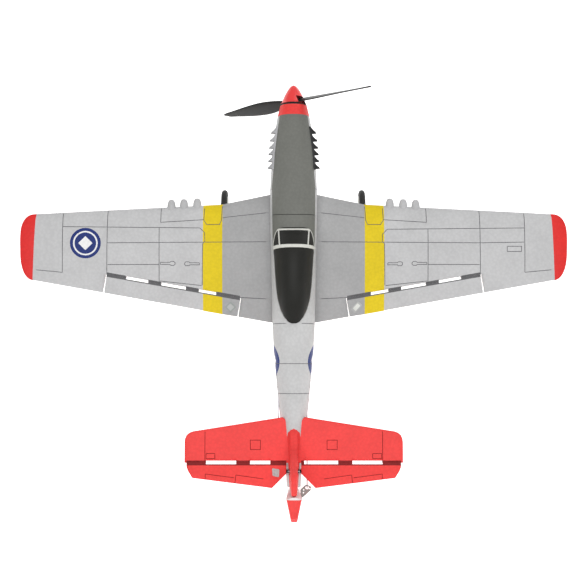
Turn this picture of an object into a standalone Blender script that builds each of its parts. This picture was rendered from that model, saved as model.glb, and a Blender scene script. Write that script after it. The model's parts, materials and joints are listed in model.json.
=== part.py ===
"""Foam park-flyer fighter, modelled as separate pieces.

Every piece is modelled in the airframe's own axes, in millimetres: +X to the port wing tip, -Y to the
nose, +Z up from the propeller axis. An empty carries all of them and pitches the nose up until the two
main wheels and the tail wheel stand on the ground, with the world origin under the middle of the model.
"""
import math

import bmesh
import bpy
from mathutils import Euler, Vector

MM = 0.001
GAP = 0.3                       # air left between touching pieces

# Stance
PITCH = 12.2                    # nose-up angle on the ground, degrees

# Wing
SPAN = 400.0
DIHEDRAL = 5.0
ROOT_LE, ROOT_TE = -71.2, 24.5  # leading and trailing edge at the fuselage side
ROOT_X = 17.4
KINK_X, KINK_LE = 52.8, -63.3
TIP_X, TIP_LE, TIP_TE = 188.5, -54.5, -5.5
ROOT_Z = -17.5                  # chord plane on the centre line
ROOT_THICK, TIP_THICK = 12.0, 4.6
TIP_ROUND = 11.5                # length of the rounded tip

# Ailerons
AIL_IN, AIL_OUT = 39.6, 137.2
AIL_HINGE_IN, AIL_HINGE_OUT = 7.0, -9.8
HINGE_GAP = 1.0
SPAR_Y = -42.2
SLIT_LEAN = 0.155               # outward lean of the aileron's end slits, per unit of chord
BAY_REACH = 40.0                # how far the aileron's cutter runs back from the hinge, past the edge

# Tail surfaces
STAB_Z, STAB_THICK = 10.5, 3.4
ELEV_HINGE_Y = 126.0
STAB_HALF = 77.8
RUD_HINGE_Y = 144.0

# Power train
PROP_Y = -138.0
PROP_RADIUS = 70.0
PROP_ANGLE = 39.0               # how far the port blade hangs below level
GEAR_MODULE = 0.45
SPUR_TEETH, PINION_TEETH = 40, 8
GEAR_Y, GEAR_WIDTH = -121.0, 2.4
SHAFT_R = 0.75
ROOT_PITCH, TIP_PITCH = 24.0, 15.5   # blade angle to the prop disc, degrees
SPINNER_TIP_Y, SPINNER_BASE_Y, SPINNER_R = -150.3, -135.3, 9.5
MOTOR_R, MOTOR_LEN = 4.25, 20.0

# Linkage
ROD_R = 0.4
LEVER = 8.0                     # axis-to-hole distance of every horn and arm but the rudder's
RUD_LEVER = 9.6
PLATE = 1.2                     # thickness of horns and servo arms
HORN_X = 46.5                   # aileron horn plate
SERVO_Y = -24.0                 # shaft of the wing servos
SERVO_BOX = (6.8, 17.0, 10.0)   # a micro servo's case
SHAFT_AHEAD = 4.0               # its shaft, off the middle of the case
ELEV_ROD_X = 11.0
ELEV_SERVO_Y = 24.0
RUD_SERVO_Y = 42.0
RUD_HORN_Z = 2.0
ROD_OFFSET = 1.5                # wire centre to plate centre
REACH = 1.4                     # bent end past the plate centre
HOLE_R, RUD_HOLE_R = 0.95, 1.2  # rod holes; the rudder's longer lever needs the wider one
BOSS_R, BOSS_LEN = 2.2, 1.6     # servo output boss
JOINER_Y, JOINER_R = 131.6, 0.5

# Landing gear
AXLE_X, AXLE_Y, AXLE_Z = 54.0, -69.0, -62.0
WHEEL_R, WHEEL_W = 13.0, 6.2
TAIL_AXLE_Y, TAIL_WHEEL_R, TAIL_WHEEL_W = 124.0, 5.2, 3.0
WIRE_R = 0.75
TAIL_WIRE_R = 0.5
TAIL_TOP_Z = -11.5              # upper end of the tail wheel's wire
MOUNT_X, MOUNT_Y = 48.0, -52.0  # centre of the leg's mount plate
WHEEL_SIDES, TAIL_SIDES = 28, 16

# Fuselage stations: y, half width, top z, bottom z
STATIONS = [
    (-134.6, 9.9, 10.2, -10.4),
    (-126.0, 12.0, 12.4, -16.4),
    (-115.0, 14.0, 14.0, -19.6),
    (-98.0, 16.0, 15.4, -21.6),
    (-74.0, 17.3, 16.6, -22.6),
    (-52.0, 17.4, 17.4, -23.0),
    (-20.0, 16.6, 18.0, -23.6),
    (10.0, 15.9, 18.0, -23.6),
    (30.0, 15.4, 17.4, -22.8),
    (46.0, 14.5, 16.8, -20.6),
    (60.0, 13.2, 16.4, -18.2),
    (77.0, 11.6, 15.8, -15.2),
    (93.0, 9.8, 15.2, -12.4),
    (106.0, 8.5, 14.8, -10.2),
    (122.0, 6.6, 14.4, -8.0),
    (134.0, 5.6, 14.0, -6.6),
    (143.0, 5.0, 13.8, -5.8),
]
SKIN = 2.6
ARC_STEPS = 9
SQUARENESS = 2.5                # exponent of the fuselage section's superellipse
TAIL_SQUARENESS = 1.8           # the same at the tail end
CANOPY_POWER = 2.2              # exponent of the canopy's section
HATCH_FRONT, HATCH_REAR, HATCH_HALF = -97.0, -76.0, 9.0

AIRFRAME = None


def clear_scene():
    for obj in list(bpy.data.objects):
        bpy.data.objects.remove(obj, do_unlink=True)


def material(name, colour, roughness, metallic=0.0):
    mat = bpy.data.materials.get(name)
    if mat is None:
        mat = bpy.data.materials.new(name)
        mat.use_nodes = True
        shader = mat.node_tree.nodes["Principled BSDF"]
        shader.inputs["Base Color"].default_value = (*colour, 1.0)
        shader.inputs["Roughness"].default_value = roughness
        shader.inputs["Metallic"].default_value = metallic
    return mat


def foam_silver():
    return material("foam_silver", (0.58, 0.58, 0.59), 0.6)


def foam_red():
    return material("foam_red", (0.83, 0.07, 0.06), 0.6)


def black_plastic():
    return material("black_plastic", (0.02, 0.02, 0.02), 0.45)


def white_plastic():
    return material("white_plastic", (0.75, 0.76, 0.72), 0.4)


def grey_plastic():
    return material("grey_plastic", (0.35, 0.37, 0.35), 0.45)


def canopy_plastic():
    return material("canopy_plastic", (0.03, 0.03, 0.03), 0.12)


def red_plastic():
    return material("red_plastic", (0.8, 0.05, 0.05), 0.35)


def steel():
    return material("steel", (0.6, 0.6, 0.62), 0.3, 1.0)


def motor_metal():
    return material("motor_metal", (0.55, 0.55, 0.57), 0.3, 1.0)


def carbon():
    return material("carbon", (0.025, 0.025, 0.028), 0.35)


def circuit_green():
    return material("circuit_green", (0.03, 0.16, 0.07), 0.4)


def cell_wrap():
    return material("cell_wrap", (0.05, 0.16, 0.42), 0.4)


def servo_case():
    return material("servo_case", (0.04, 0.05, 0.07), 0.35)


def brass():
    return material("brass", (0.72, 0.5, 0.2), 0.3, 1.0)


def dark_plastic():
    return material("dark_plastic", (0.09, 0.09, 0.09), 0.4)


def tyre_black():
    return material("tyre_black", (0.015, 0.015, 0.015), 0.7)


def finish_mesh(bm, name, mat, origin, smooth_angle=35.0):
    """Turn a bmesh in airframe millimetres into an object whose origin is at the given point."""
    bmesh.ops.remove_doubles(bm, verts=bm.verts, dist=1e-5)
    bmesh.ops.recalc_face_normals(bm, faces=bm.faces)
    centre = Vector(origin)
    for vert in bm.verts:
        vert.co = (vert.co - centre) * MM
    mesh = bpy.data.meshes.new(name)
    bm.to_mesh(mesh)
    bm.free()
    mesh.shade_smooth()
    mesh.set_sharp_from_angle(angle=math.radians(smooth_angle))
    mesh.materials.append(mat)
    obj = bpy.data.objects.new(name, mesh)
    bpy.context.scene.collection.objects.link(obj)
    obj.location = centre * MM
    obj.parent = AIRFRAME
    return obj


def loft_into(bm, rings, close=False):
    """Skin a list of equal rings; the two ends are capped unless the loft closes on itself."""
    loops = [[bm.verts.new(point) for point in ring] for ring in rings]
    pairs = list(zip(loops, loops[1:]))
    if close:
        pairs.append((loops[-1], loops[0]))
    count = len(rings[0])
    for lower, upper in pairs:
        for i in range(count):
            j = (i + 1) % count
            bm.faces.new((lower[i], lower[j], upper[j], upper[i]))
    if not close:
        bm.faces.new(list(reversed(loops[0])))
        bm.faces.new(loops[-1])
    return bm


def loft(name, rings, mat, origin=(0, 0, 0), close=False):
    return finish_mesh(loft_into(bmesh.new(), rings, close), name, mat, origin)


def prism_rings(outline, direction, start, end):
    """Two rings: the outline (3-D points) pushed to start and to end along a unit direction."""
    step = Vector(direction)
    return [[Vector(p) + step * distance for p in outline] for distance in (start, end)]


def box_rings(low, high):
    x0, y0, z0 = low
    x1, y1, z1 = high
    base = [(x0, y0, 0), (x1, y0, 0), (x1, y1, 0), (x0, y1, 0)]
    return prism_rings(base, (0, 0, 1), z0, z1)


def circle(radius, sides, phase=0.0):
    """Points of a circle as pairs, the first at the phase angle (radians)."""
    return [(radius * math.cos(phase + 2 * math.pi * i / sides),
             radius * math.sin(phase + 2 * math.pi * i / sides)) for i in range(sides)]


def lathe_y(profile, centre, sides, phase=0.0):
    """Rings about an axis along Y: profile is (radius, y) pairs, capped at both ends."""
    cx, cy, cz = centre
    return [[(cx + u, cy + y, cz + v) for u, v in circle(r, sides, phase)] for r, y in profile]


def lathe_x(profile, centre, sides, phase=0.0):
    """Rings about an axis along X: profile is (radius, x) pairs."""
    cx, cy, cz = centre
    return [[(cx + x, cy + u, cz + v) for u, v in circle(r, sides, phase)] for r, x in profile]


def sweep_into(bm, path, radius, sides=6):
    """A wire: one ring at each point, square to the bisector of its two neighbours."""
    points = [Vector(p) for p in path]
    rings = []
    reference = None
    for i, point in enumerate(points):
        before = (point - points[i - 1]).normalized() if i > 0 else None
        after = (points[i + 1] - point).normalized() if i < len(points) - 1 else None
        tangent = (before or after) if not (before and after) else (before + after).normalized()
        if reference is None:
            reference = tangent.orthogonal().normalized()
        reference = (reference - tangent * reference.dot(tangent)).normalized()
        side = tangent.cross(reference)
        stretch = 1.0
        if before and after:
            stretch = 1.0 / max(0.5, math.sqrt((1 + before.dot(after)) / 2))
        bend = (after - before) if (before and after) else Vector()
        ring = []
        for u, v in circle(radius, sides):
            offset = reference * u + side * v
            if bend.length > 1e-6:
                axis = bend.normalized()
                offset += axis * offset.dot(axis) * (stretch - 1.0)
            ring.append(point + offset)
        rings.append(ring)
    return loft_into(bm, rings)


def wire(name, path, radius, mat, origin, sides=6):
    return finish_mesh(sweep_into(bmesh.new(), path, radius, sides), name, mat, origin)


def rounded_path(corners, bend, steps=3):
    """A polyline whose inner corners are turned with short arcs of quadratic curves."""
    points = [Vector(c) for c in corners]
    path = [points[0]]
    for prev, corner, nxt in zip(points, points[1:], points[2:]):
        start = corner + (prev - corner).normalized() * bend
        end = corner + (nxt - corner).normalized() * bend
        for k in range(steps + 1):
            t = k / steps
            path.append(start * (1 - t) ** 2 + corner * 2 * t * (1 - t) + end * t ** 2)
    path.append(points[-1])
    return path


def cutter(name, rings):
    """A hidden solid for Boolean modifiers."""
    obj = loft(name, rings, black_plastic())
    obj.hide_render = True
    obj.display_type = 'WIRE'
    return obj


def boolean(obj, tool, operation='DIFFERENCE'):
    mod = obj.modifiers.new(tool.name, 'BOOLEAN')
    mod.operation = operation
    mod.solver = 'EXACT'
    mod.object = tool


def mirror_x(rings, side):
    """Rings built for the port side (+1), reflected for the starboard side (-1)."""
    return [[(side * p[0], p[1], p[2]) for p in ring] for ring in rings]


# ---------------------------------------------------------------- fuselage

def station_at(y):
    """Half width, top and bottom of the fuselage at y, between its stations."""
    for low, high in zip(STATIONS, STATIONS[1:]):
        if low[0] <= y <= high[0]:
            t = (y - low[0]) / (high[0] - low[0])
            return [a + (b - a) * t for a, b in zip(low[1:], high[1:])]
    return list(STATIONS[0][1:] if y < STATIONS[0][0] else STATIONS[-1][1:])


def section_power(y):
    """The section's exponent: square at the cabin, rounder towards the tail."""
    t = min(1.0, max(0.0, (y - 46.0) / 76.0))
    return SQUARENESS + (TAIL_SQUARENESS - SQUARENESS) * t


def section_point(half_width, top, bottom, angle, power):
    """A point of the superellipse section; angle 90 is the crown, -90 the keel."""
    c, s = math.cos(angle), math.sin(angle)
    middle = bottom + (top - bottom) * 0.45
    height = (top - middle) if s >= 0 else (middle - bottom)
    x = half_width * math.copysign(abs(c) ** (2 / power), c)
    z = middle + height * math.copysign(abs(s) ** (2 / power), s)
    return x, z


def half_section(y, half_width, top, bottom, inset):
    """One side of the section, crown to keel, ending on the parting plane."""
    points = []
    for k in range(ARC_STEPS + 1):
        angle = math.pi / 2 - math.pi * k / ARC_STEPS
        x, z = section_point(half_width - inset, top - inset, bottom + inset, angle, section_power(y))
        points.append((max(x, 0.0) + GAP / 2, y, z))
    return points


def fuselage_half(name, side):
    rings = []
    for y, half_width, top, bottom in STATIONS:
        skin = min(SKIN, half_width * 0.5)
        outer = half_section(y, half_width, top, bottom, 0.0)
        inner = half_section(y, half_width, top, bottom, skin)
        rings.append(outer + list(reversed(inner)))
    return loft(name, mirror_x(rings, side), foam_silver())


def wing_saddle(side):
    """The space of the wing roots, open downwards, that the fuselage half leaves free."""
    rings = []
    for x in (-1.0, GAP / 2, ROOT_X, 26.0):
        upper = [(x, y, z + GAP) for y, z in wing_section(max(x, GAP / 2))[0]]
        upper[0] = (x, upper[0][1] - GAP, upper[0][2])
        upper[-1] = (x, upper[-1][1] + GAP, upper[-1][2])
        low = -60.0
        rings.append([(x, upper[0][1], low)] + upper + [(x, upper[-1][1], low)])
    return cutter("saddle_cutter_%s" % side_word(side), mirror_x(rings, side))


def side_word(side):
    return "left" if side > 0 else "right"


# ---------------------------------------------------------------- wing

def wing_edges(x):
    """Leading and trailing edge at x, with the tip rounded off."""
    if x <= ROOT_X:
        lead, trail = ROOT_LE, ROOT_TE
    elif x <= KINK_X:
        t = (x - ROOT_X) / (KINK_X - ROOT_X)
        lead = ROOT_LE + (KINK_LE - ROOT_LE) * t
        trail = ROOT_TE + (TIP_TE - ROOT_TE) * (x - ROOT_X) / (TIP_X - ROOT_X)
    else:
        t = (x - KINK_X) / (TIP_X - KINK_X)
        lead = KINK_LE + (TIP_LE - KINK_LE) * t
        trail = ROOT_TE + (TIP_TE - ROOT_TE) * (x - ROOT_X) / (TIP_X - ROOT_X)
    if x > TIP_X:
        t = min(1.0, (x - TIP_X) / TIP_ROUND)
        shrink = math.sqrt(max(0.0, 1 - t ** 2.6))
        middle = TIP_LE + (TIP_TE - TIP_LE) * 0.40
        lead = middle + (TIP_LE - middle) * (0.30 + 0.70 * shrink)
        trail = middle + (TIP_TE - middle) * (0.30 + 0.70 * shrink)
    return lead, trail


def wing_thickness(x):
    t = max(0.0, x - ROOT_X) / (SPAN / 2 - ROOT_X)
    thick = ROOT_THICK + (TIP_THICK - ROOT_THICK) * t
    if x > TIP_X:
        thick *= 1.0 - 0.55 * ((x - TIP_X) / TIP_ROUND) ** 2
    return thick


def wing_z(x):
    return ROOT_Z + abs(x) * math.tan(math.radians(DIHEDRAL))


CHORD_STOPS = [0.0, 0.02, 0.08, 0.2, 0.36, 0.55, 0.75, 0.9, 1.0]


def wing_section(x, stops=None):
    """Upper and lower curves as (y, z) lists from the leading to the trailing edge."""
    lead, trail = wing_edges(x)
    chord = trail - lead
    thick = wing_thickness(x)
    upper, lower = [], []
    for s in (stops or CHORD_STOPS):
        half = 0.5 * 2.98 * (math.sqrt(s) - 0.42 * s - 1.17 * s ** 2 + 0.95 * s ** 3 - 0.36 * s ** 4)
        half = max(half, 0.0) + 0.045
        if s == 0.0:
            half = 0.02
        y = lead + chord * s
        upper.append((y, wing_z(x) + thick * half * 1.12))
        lower.append((y, wing_z(x) - thick * half * 0.88))
    return upper, lower


def wing_ring(x):
    upper, lower = wing_section(x)
    return [(x, y, z) for y, z in upper] + [(x, y, z) for y, z in reversed(lower)]


def aileron_hinge_y(x):
    return AIL_HINGE_IN + (AIL_HINGE_OUT - AIL_HINGE_IN) * (x - AIL_IN) / (AIL_OUT - AIL_IN)


def gun_bump_into(bm, x, side):
    """A blunt gun fairing on the leading edge, sunk into the wing's nose."""
    lead = wing_edges(x)[0]
    z = wing_z(x) + 0.3
    profile = [(1.3, lead - 4.2), (2.3, lead - 3.0), (2.7, lead + 1.0), (2.6, lead + 14.0)]
    rings = [[(side * (x + u), y, z + v) for u, v in circle(r, 10)] for r, y in profile]
    loft_into(bm, rings)


GUN_X = (71.6, 81.4, 90.6)


def wing_half(side):
    word = side_word(side)
    stops = [GAP / 2, ROOT_X, KINK_X, 90.0, AIL_OUT + 2.0, TIP_X, 192.5, 196.0, 198.6, SPAN / 2]
    wing = loft("wing_" + word, mirror_x([wing_ring(x) for x in stops], side), foam_silver())
    boolean(wing, aileron_bay(side))
    for index, x in enumerate(GUN_X):
        bm = bmesh.new()
        gun_bump_into(bm, x, side)
        tool = finish_mesh(bm, "gun_%s_%d" % (word, index), foam_silver(), (0, 0, 0))
        tool.hide_render = True
        tool.display_type = 'WIRE'
        boolean(wing, tool, 'UNION')
    boolean(wing, spar_groove(side))
    boolean(wing, servo_pocket(side))
    boolean(wing, gear_pocket(side))
    return wing


def aileron_outline(grow_in, grow_out, grow_hinge):
    """Plan outline of the aileron: hinge line in front, past the trailing edge behind."""
    x0, x1 = AIL_IN + grow_in, AIL_OUT + grow_out
    front = [(x, aileron_hinge_y(x) + grow_hinge) for x in (x0, x1)]
    rear = [(x + SLIT_LEAN * BAY_REACH, aileron_hinge_y(x) + BAY_REACH) for x in (x1, x0)]
    return front + rear


def aileron_bay(side):
    outline = [(side * x, y, 0.0) for x, y in aileron_outline(-0.8, 0.8, -HINGE_GAP / 2)]
    return cutter("aileron_bay_" + side_word(side), prism_rings(outline, (0, 0, 1), -40.0, 20.0))


def aileron(side):
    """The trailing part of the wing section behind the hinge, with a bevelled nose."""
    word = side_word(side)
    rings = []
    for x in (AIL_IN, AIL_OUT):
        lead, trail = wing_edges(x)
        hinge = aileron_hinge_y(x) + HINGE_GAP / 2
        fractions = [(hinge - lead) / (trail - lead)]
        fractions += [fractions[0] + (1 - fractions[0]) * t for t in (0.3, 0.65, 1.0)]
        upper, lower = wing_section(x, fractions)
        lean = [SLIT_LEAN * (y - hinge) for y, z in upper]
        ring = [(x + dx, y, z) for (y, z), dx in zip(upper, lean)]
        under = [(x + dx, y, z) for (y, z), dx in zip(lower, lean)]
        thick = upper[0][1] - lower[0][1]
        under[0] = (x, hinge + 0.62 * thick, lower[0][1] + 0.06 * thick)
        nose = (x, hinge, upper[0][1] - 0.25 * thick)
        rings.append(ring + list(reversed(under)) + [nose])
    return loft("aileron_" + word, mirror_x(rings, side), foam_silver(), aileron_axis(side)[0])


def aileron_axis(side):
    """A point on the hinge axis and the axis direction, towards the tip of that wing."""
    points = []
    for x in (AIL_IN, AIL_OUT):
        hinge = aileron_hinge_y(x)
        lead, trail = wing_edges(x)
        upper, lower = wing_section(x, [(hinge - lead) / (trail - lead)])
        points.append(Vector((side * x, hinge, upper[0][1] - 0.8)))
    middle = (points[0] + points[1]) / 2
    return middle, (points[1] - points[0]).normalized()


def spar_groove(side):
    return cutter("groove_" + side_word(side), spar_rings(side, 1.1, 20.5, 131.0, 3.0))


def spar_rings(side, half, x0, x1, drop):
    """A square bar under the wing at the spar line, following the dihedral."""
    rings = []
    for x in (x0, x1):
        y = SPAR_Y
        lead, trail = wing_edges(x)
        lower = wing_section(x, [(y - lead) / (trail - lead)])[1][0][1]
        rings.append([(side * x, y - half, lower + 1.8), (side * x, y + half, lower + 1.8),
                      (side * x, y + half, lower + 0.1 - drop), (side * x, y - half, lower + 0.1 - drop)])
    return rings


def spar(side):
    rings = spar_rings(side, 0.8, 21.0, 130.5, 0.0)
    lowered = [[(x, y, z - 0.3) if i < 2 else (x, y, z) for i, (x, y, z) in enumerate(r)] for r in rings]
    return loft("spar_" + side_word(side), lowered, carbon())


# ---------------------------------------------------------------- servos and linkages

def servo(name, centre, size, shaft, side, along):
    """A micro servo: box, output boss towards `along` on one side, and two mounting ears."""
    cx, cy, cz = centre
    sx, sy, sz = size
    body = loft(name, box_rings((cx - sx / 2, cy - sy / 2, cz - sz / 2),
                                (cx + sx / 2, cy + sy / 2, cz + sz / 2)), servo_case(), centre)
    if along == 'X':
        face = cx + side * sx / 2
        rings = lathe_x([(BOSS_R, -side * 1.0), (BOSS_R, side * BOSS_LEN)], (face, shaft[1], shaft[2]), 12)
        ears = box_rings((face - side * 2.4 - 0.5, cy - sy / 2 - 2.2, cz - sz / 2 + 1.0),
                         (face - side * 2.4 + 0.5, cy + sy / 2 + 2.2, cz + sz / 2 - 1.0))
    else:
        face = cz + side * sz / 2
        rings = [[(shaft[0] + u, shaft[1] + v, face + h) for u, v in circle(BOSS_R, 12)]
                 for h in (-side * 1.0, side * BOSS_LEN)]
        ears = box_rings((cx - sx / 2 + 1.0, cy - sy / 2 - 2.2, face - side * 2.4 - 0.5),
                         (cx + sx / 2 - 1.0, cy + sy / 2 + 2.2, face - side * 2.4 + 0.5))
    boolean(body, cutter(name + "_boss", rings), 'UNION')
    boolean(body, cutter(name + "_ears", ears), 'UNION')
    return body


def lever(name, hub, hole, normal, mat, origin, foot=None, hub_r=2.1, hole_r=HOLE_R):
    """A tapered plate from its hub to its rod hole, flat across the normal axis."""
    hub, hole = Vector(hub), Vector(hole)
    pick = (1, 2) if normal == 'X' else (0, 1)
    a = Vector((hub[pick[0]], hub[pick[1]]))
    b = Vector((hole[pick[0]], hole[pick[1]]))
    heading = math.atan2(b.y - a.y, b.x - a.x)
    outline = []
    for centre, radius, start in ((a, hub_r, math.pi / 2), (b, hole_r + 0.85, -math.pi / 2)):
        for k in range(7):
            angle = heading + start + math.pi * k / 6
            outline.append((centre.x + radius * math.cos(angle), centre.y + radius * math.sin(angle)))
    if normal == 'X':
        base = [(0.0, u, v) for u, v in outline]
        rings = prism_rings(base, (1, 0, 0), hub.x - PLATE / 2, hub.x + PLATE / 2)
        bore = lathe_x([(hole_r, -PLATE), (hole_r, PLATE)], (hub.x, b.x, b.y), 14)
    else:
        base = [(u, v, 0.0) for u, v in outline]
        rings = prism_rings(base, (0, 0, 1), hub.z - PLATE / 2, hub.z + PLATE / 2)
        bore = [[(b.x + u, b.y + v, hub.z + h) for u, v in circle(hole_r, 14)] for h in (-PLATE, PLATE)]
    plate = loft(name, rings, mat, origin)
    if foot:
        boolean(plate, cutter(name + "_foot", foot), 'UNION')
    boolean(plate, cutter(name + "_hole", bore))
    return plate


def pushrod(name, arm_hole, horn_hole, line, normal):
    """A wire along Y whose two bent ends pass through the arm's and the horn's holes.

    line is the wire's place on the normal axis; each end reaches REACH past its plate."""
    index = 0 if normal == 'X' else 2
    corners = []
    for hole in (arm_hole, horn_hole):
        outward = 1.0 if hole[index] > line else -1.0
        end, corner = list(hole), list(hole)
        end[index] = hole[index] + outward * REACH
        corner[index] = line
        corners.append((end, corner))
    path = [corners[0][0], corners[0][1], corners[1][1], corners[1][0]]
    return wire(name, rounded_path(path, 0.7, 2), ROD_R, steel(), arm_hole)


def aileron_linkage(side):
    word = side_word(side)
    start, axis = aileron_axis(side)
    hinge = start + axis * ((side * HORN_X - start.x) / axis.x)
    hole = (hinge.x, hinge.y, hinge.z - LEVER)
    lead, trail = wing_edges(HORN_X)
    foot_y0, foot_y1 = hinge.y + 5.2, hinge.y + 10.4
    rings = []
    for drop in (GAP, GAP + 1.1):
        ring = []
        for x in (HORN_X - 3.0, HORN_X + 3.0):
            ys = (foot_y0, foot_y1) if x < HORN_X else (foot_y1, foot_y0)
            for y in ys:
                lead, trail = wing_edges(x)
                under = wing_section(x, [(y - lead) / (trail - lead)])[1][0][1]
                ring.append((side * x, y, under - drop))
        rings.append(ring)
    hub = (hinge.x, hinge.y + 7.4, rings[1][0][2] - 1.2)
    lever("horn_aileron_" + word, hub, hole, 'X', white_plastic(), tuple(hinge), foot=rings)
    arm_axis = (hinge.x, SERVO_Y, hinge.z)
    arm_hole = (hinge.x, SERVO_Y, hinge.z - LEVER)
    lever("arm_aileron_" + word, arm_axis, arm_hole, 'X', white_plastic(), arm_axis)
    face = hinge.x - side * (PLATE / 2 + GAP + BOSS_LEN)
    servo("servo_aileron_" + word, (face - side * SERVO_BOX[0] / 2, SERVO_Y - SHAFT_AHEAD, hinge.z - 3.4),
          SERVO_BOX, arm_axis, side, 'X')
    pushrod("pushrod_aileron_" + word, arm_hole, hole, hinge.x + side * ROD_OFFSET, 'X')


def servo_pocket(side):
    """The recess under the wing that takes the servo and leaves its arm room to swing."""
    start, axis = aileron_axis(side)
    hinge = start + axis * ((side * HORN_X - start.x) / axis.x)
    low, high = ordered((hinge.x - side * 10.0, SERVO_Y - 15.5, hinge.z - 30.0),
                        (hinge.x + side * 2.4, SERVO_Y + 7.6, hinge.z + 2.4))
    return cutter("servo_pocket_" + side_word(side), box_rings(low, high))


def ordered(a, b):
    return tuple(min(p, q) for p, q in zip(a, b)), tuple(max(p, q) for p, q in zip(a, b))


def elevator_linkage():
    hole = (ELEV_ROD_X + ROD_OFFSET, ELEV_HINGE_Y, STAB_Z - LEVER)
    under = STAB_Z - STAB_THICK / 2
    x, nose = hole[0], ELEV_HINGE_Y + 3.4
    foot = box_rings((x - 2.6, nose, under - GAP - 1.2), (x + 2.6, nose + 6.0, under - GAP))
    lever("horn_elevator", (x, ELEV_HINGE_Y + 5.6, under - 2.4), hole, 'X', white_plastic(),
          (x, ELEV_HINGE_Y, STAB_Z), foot=foot)
    arm_axis = (ELEV_ROD_X - ROD_OFFSET, ELEV_SERVO_Y, STAB_Z - 2 * LEVER)
    arm_hole = (arm_axis[0], arm_axis[1], STAB_Z - LEVER)
    lever("arm_elevator", arm_axis, arm_hole, 'X', white_plastic(), arm_axis)
    face = arm_axis[0] - PLATE / 2 - GAP - BOSS_LEN
    servo("servo_elevator", (face - SERVO_BOX[0] / 2, ELEV_SERVO_Y - SHAFT_AHEAD, arm_axis[2]), SERVO_BOX,
          arm_axis, 1, 'X')
    pushrod("pushrod_elevator", arm_hole, hole, ELEV_ROD_X, 'X')


def rudder_linkage():
    plane = RUD_HORN_Z
    hole = (-RUD_LEVER, RUD_HINGE_Y, plane)
    foot = box_rings((-5.9, RUD_HINGE_Y + 1.6, plane - 2.6), (-4.8, RUD_HINGE_Y + 7.4, plane + 2.6))
    lever("horn_rudder", (-6.6, RUD_HINGE_Y + 4.0, plane), hole, 'Z', grey_plastic(),
          (0, RUD_HINGE_Y, plane), foot=foot, hub_r=1.9, hole_r=RUD_HOLE_R)
    arm_axis = (0.0, RUD_SERVO_Y, plane)
    arm_hole = (-RUD_LEVER, RUD_SERVO_Y, plane)
    lever("arm_rudder", arm_axis, arm_hole, 'Z', white_plastic(), arm_axis, hole_r=RUD_HOLE_R)
    top = plane - PLATE / 2 - GAP - BOSS_LEN
    centre = (0.0, RUD_SERVO_Y + SHAFT_AHEAD, top - SERVO_BOX[2] / 2)
    servo("servo_rudder", centre, SERVO_BOX, arm_axis, 1, 'Z')
    pushrod("pushrod_rudder", arm_hole, hole, plane + ROD_OFFSET, 'Z')


# ---------------------------------------------------------------- tail

def stab_outline():
    """Plan of the fixed stabilizer, port half: root leading edge, tip, hinge, then the crown notch."""
    hinge = ELEV_HINGE_Y - HINGE_GAP / 2
    return [(7.9, 93.2), (72.0, 103.3), (76.0, 105.6), (77.6, 109.0), (STAB_HALF, hinge), (3.1, 104.4)]


def stabilizer():
    """One foam plate through the tail: both halves, notched in front for the fuselage crown."""
    *edge, notch = stab_outline()
    whole = edge + [(-x, y) for x, y in reversed(edge)] + [(-notch[0], notch[1]), notch]
    flat = [(x, y, 0.0) for x, y in whole]
    rings = prism_rings(flat, (0, 0, 1), STAB_Z - STAB_THICK / 2, STAB_Z + STAB_THICK / 2)
    plate = loft("stabilizer", rings, foam_red())
    bevel = plate.modifiers.new("edges", 'BEVEL')
    bevel.width = 0.8 * MM
    bevel.segments = 1
    bevel.limit_method = 'ANGLE'
    return plate


def stab_slot():
    """The slot through the tail that the stabilizer slides into."""
    half = STAB_THICK / 2 + GAP
    low, high = (-30, 92.6, STAB_Z - half), (30, ELEV_HINGE_Y + 0.8, STAB_Z + half)
    return cutter("stab_slot", box_rings(low, high))


def elevator(side):
    """A tapering foam flap with a bevelled nose and a raked inner edge."""
    nose_y = ELEV_HINGE_Y + HINGE_GAP / 2
    half = STAB_THICK / 2
    inner = [(5.3, nose_y), (5.3, 133.2), (15.5, 143.4)]
    outer = [(76.4, nose_y), (76.2, 128.6), (72.2, 136.3)]
    top = STAB_Z + half
    plan = [inner[0], outer[0], outer[1], outer[2], inner[2], inner[1]]

    def depth(y, x):
        trail = 143.4 - (143.4 - 136.3) * (x - 15.5) / (72.2 - 15.5)
        return max(0.16, min(1.0, (trail - y) / (trail - nose_y)))

    upper = [(x, y, STAB_Z + half * depth(y, x)) for x, y in plan]
    lower = [(x, y, STAB_Z - half * depth(y, x)) for x, y in plan]
    for i in (0, 1):
        lower[i] = (plan[i][0], nose_y + 1.9, STAB_Z - half * 0.92)
    name = "elevator_" + side_word(side)
    middle = (0, ELEV_HINGE_Y, STAB_Z)
    obj = loft(name, mirror_x([lower, upper], side), foam_red(), middle)
    boolean(obj, cutter(name + "_bore", lathe_x([(JOINER_R + 0.12, -20.0), (JOINER_R + 0.12, 20.0)],
                                                (0, JOINER_Y, STAB_Z), 10)))
    return obj


def elevator_joiner():
    rings = lathe_x([(JOINER_R, -17.0), (JOINER_R, 17.0)], (0, JOINER_Y, STAB_Z), 10)
    return loft("elevator_joiner", rings, steel(), (0, ELEV_HINGE_Y, STAB_Z))


def joiner_slot():
    """The opening through the tail that the joiner swings in."""
    low, high = (-20, JOINER_Y - 1.5, STAB_Z - 4.4), (20, JOINER_Y + 1.4, STAB_Z + 8.0)
    return cutter("joiner_slot", box_rings(low, high))


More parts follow.
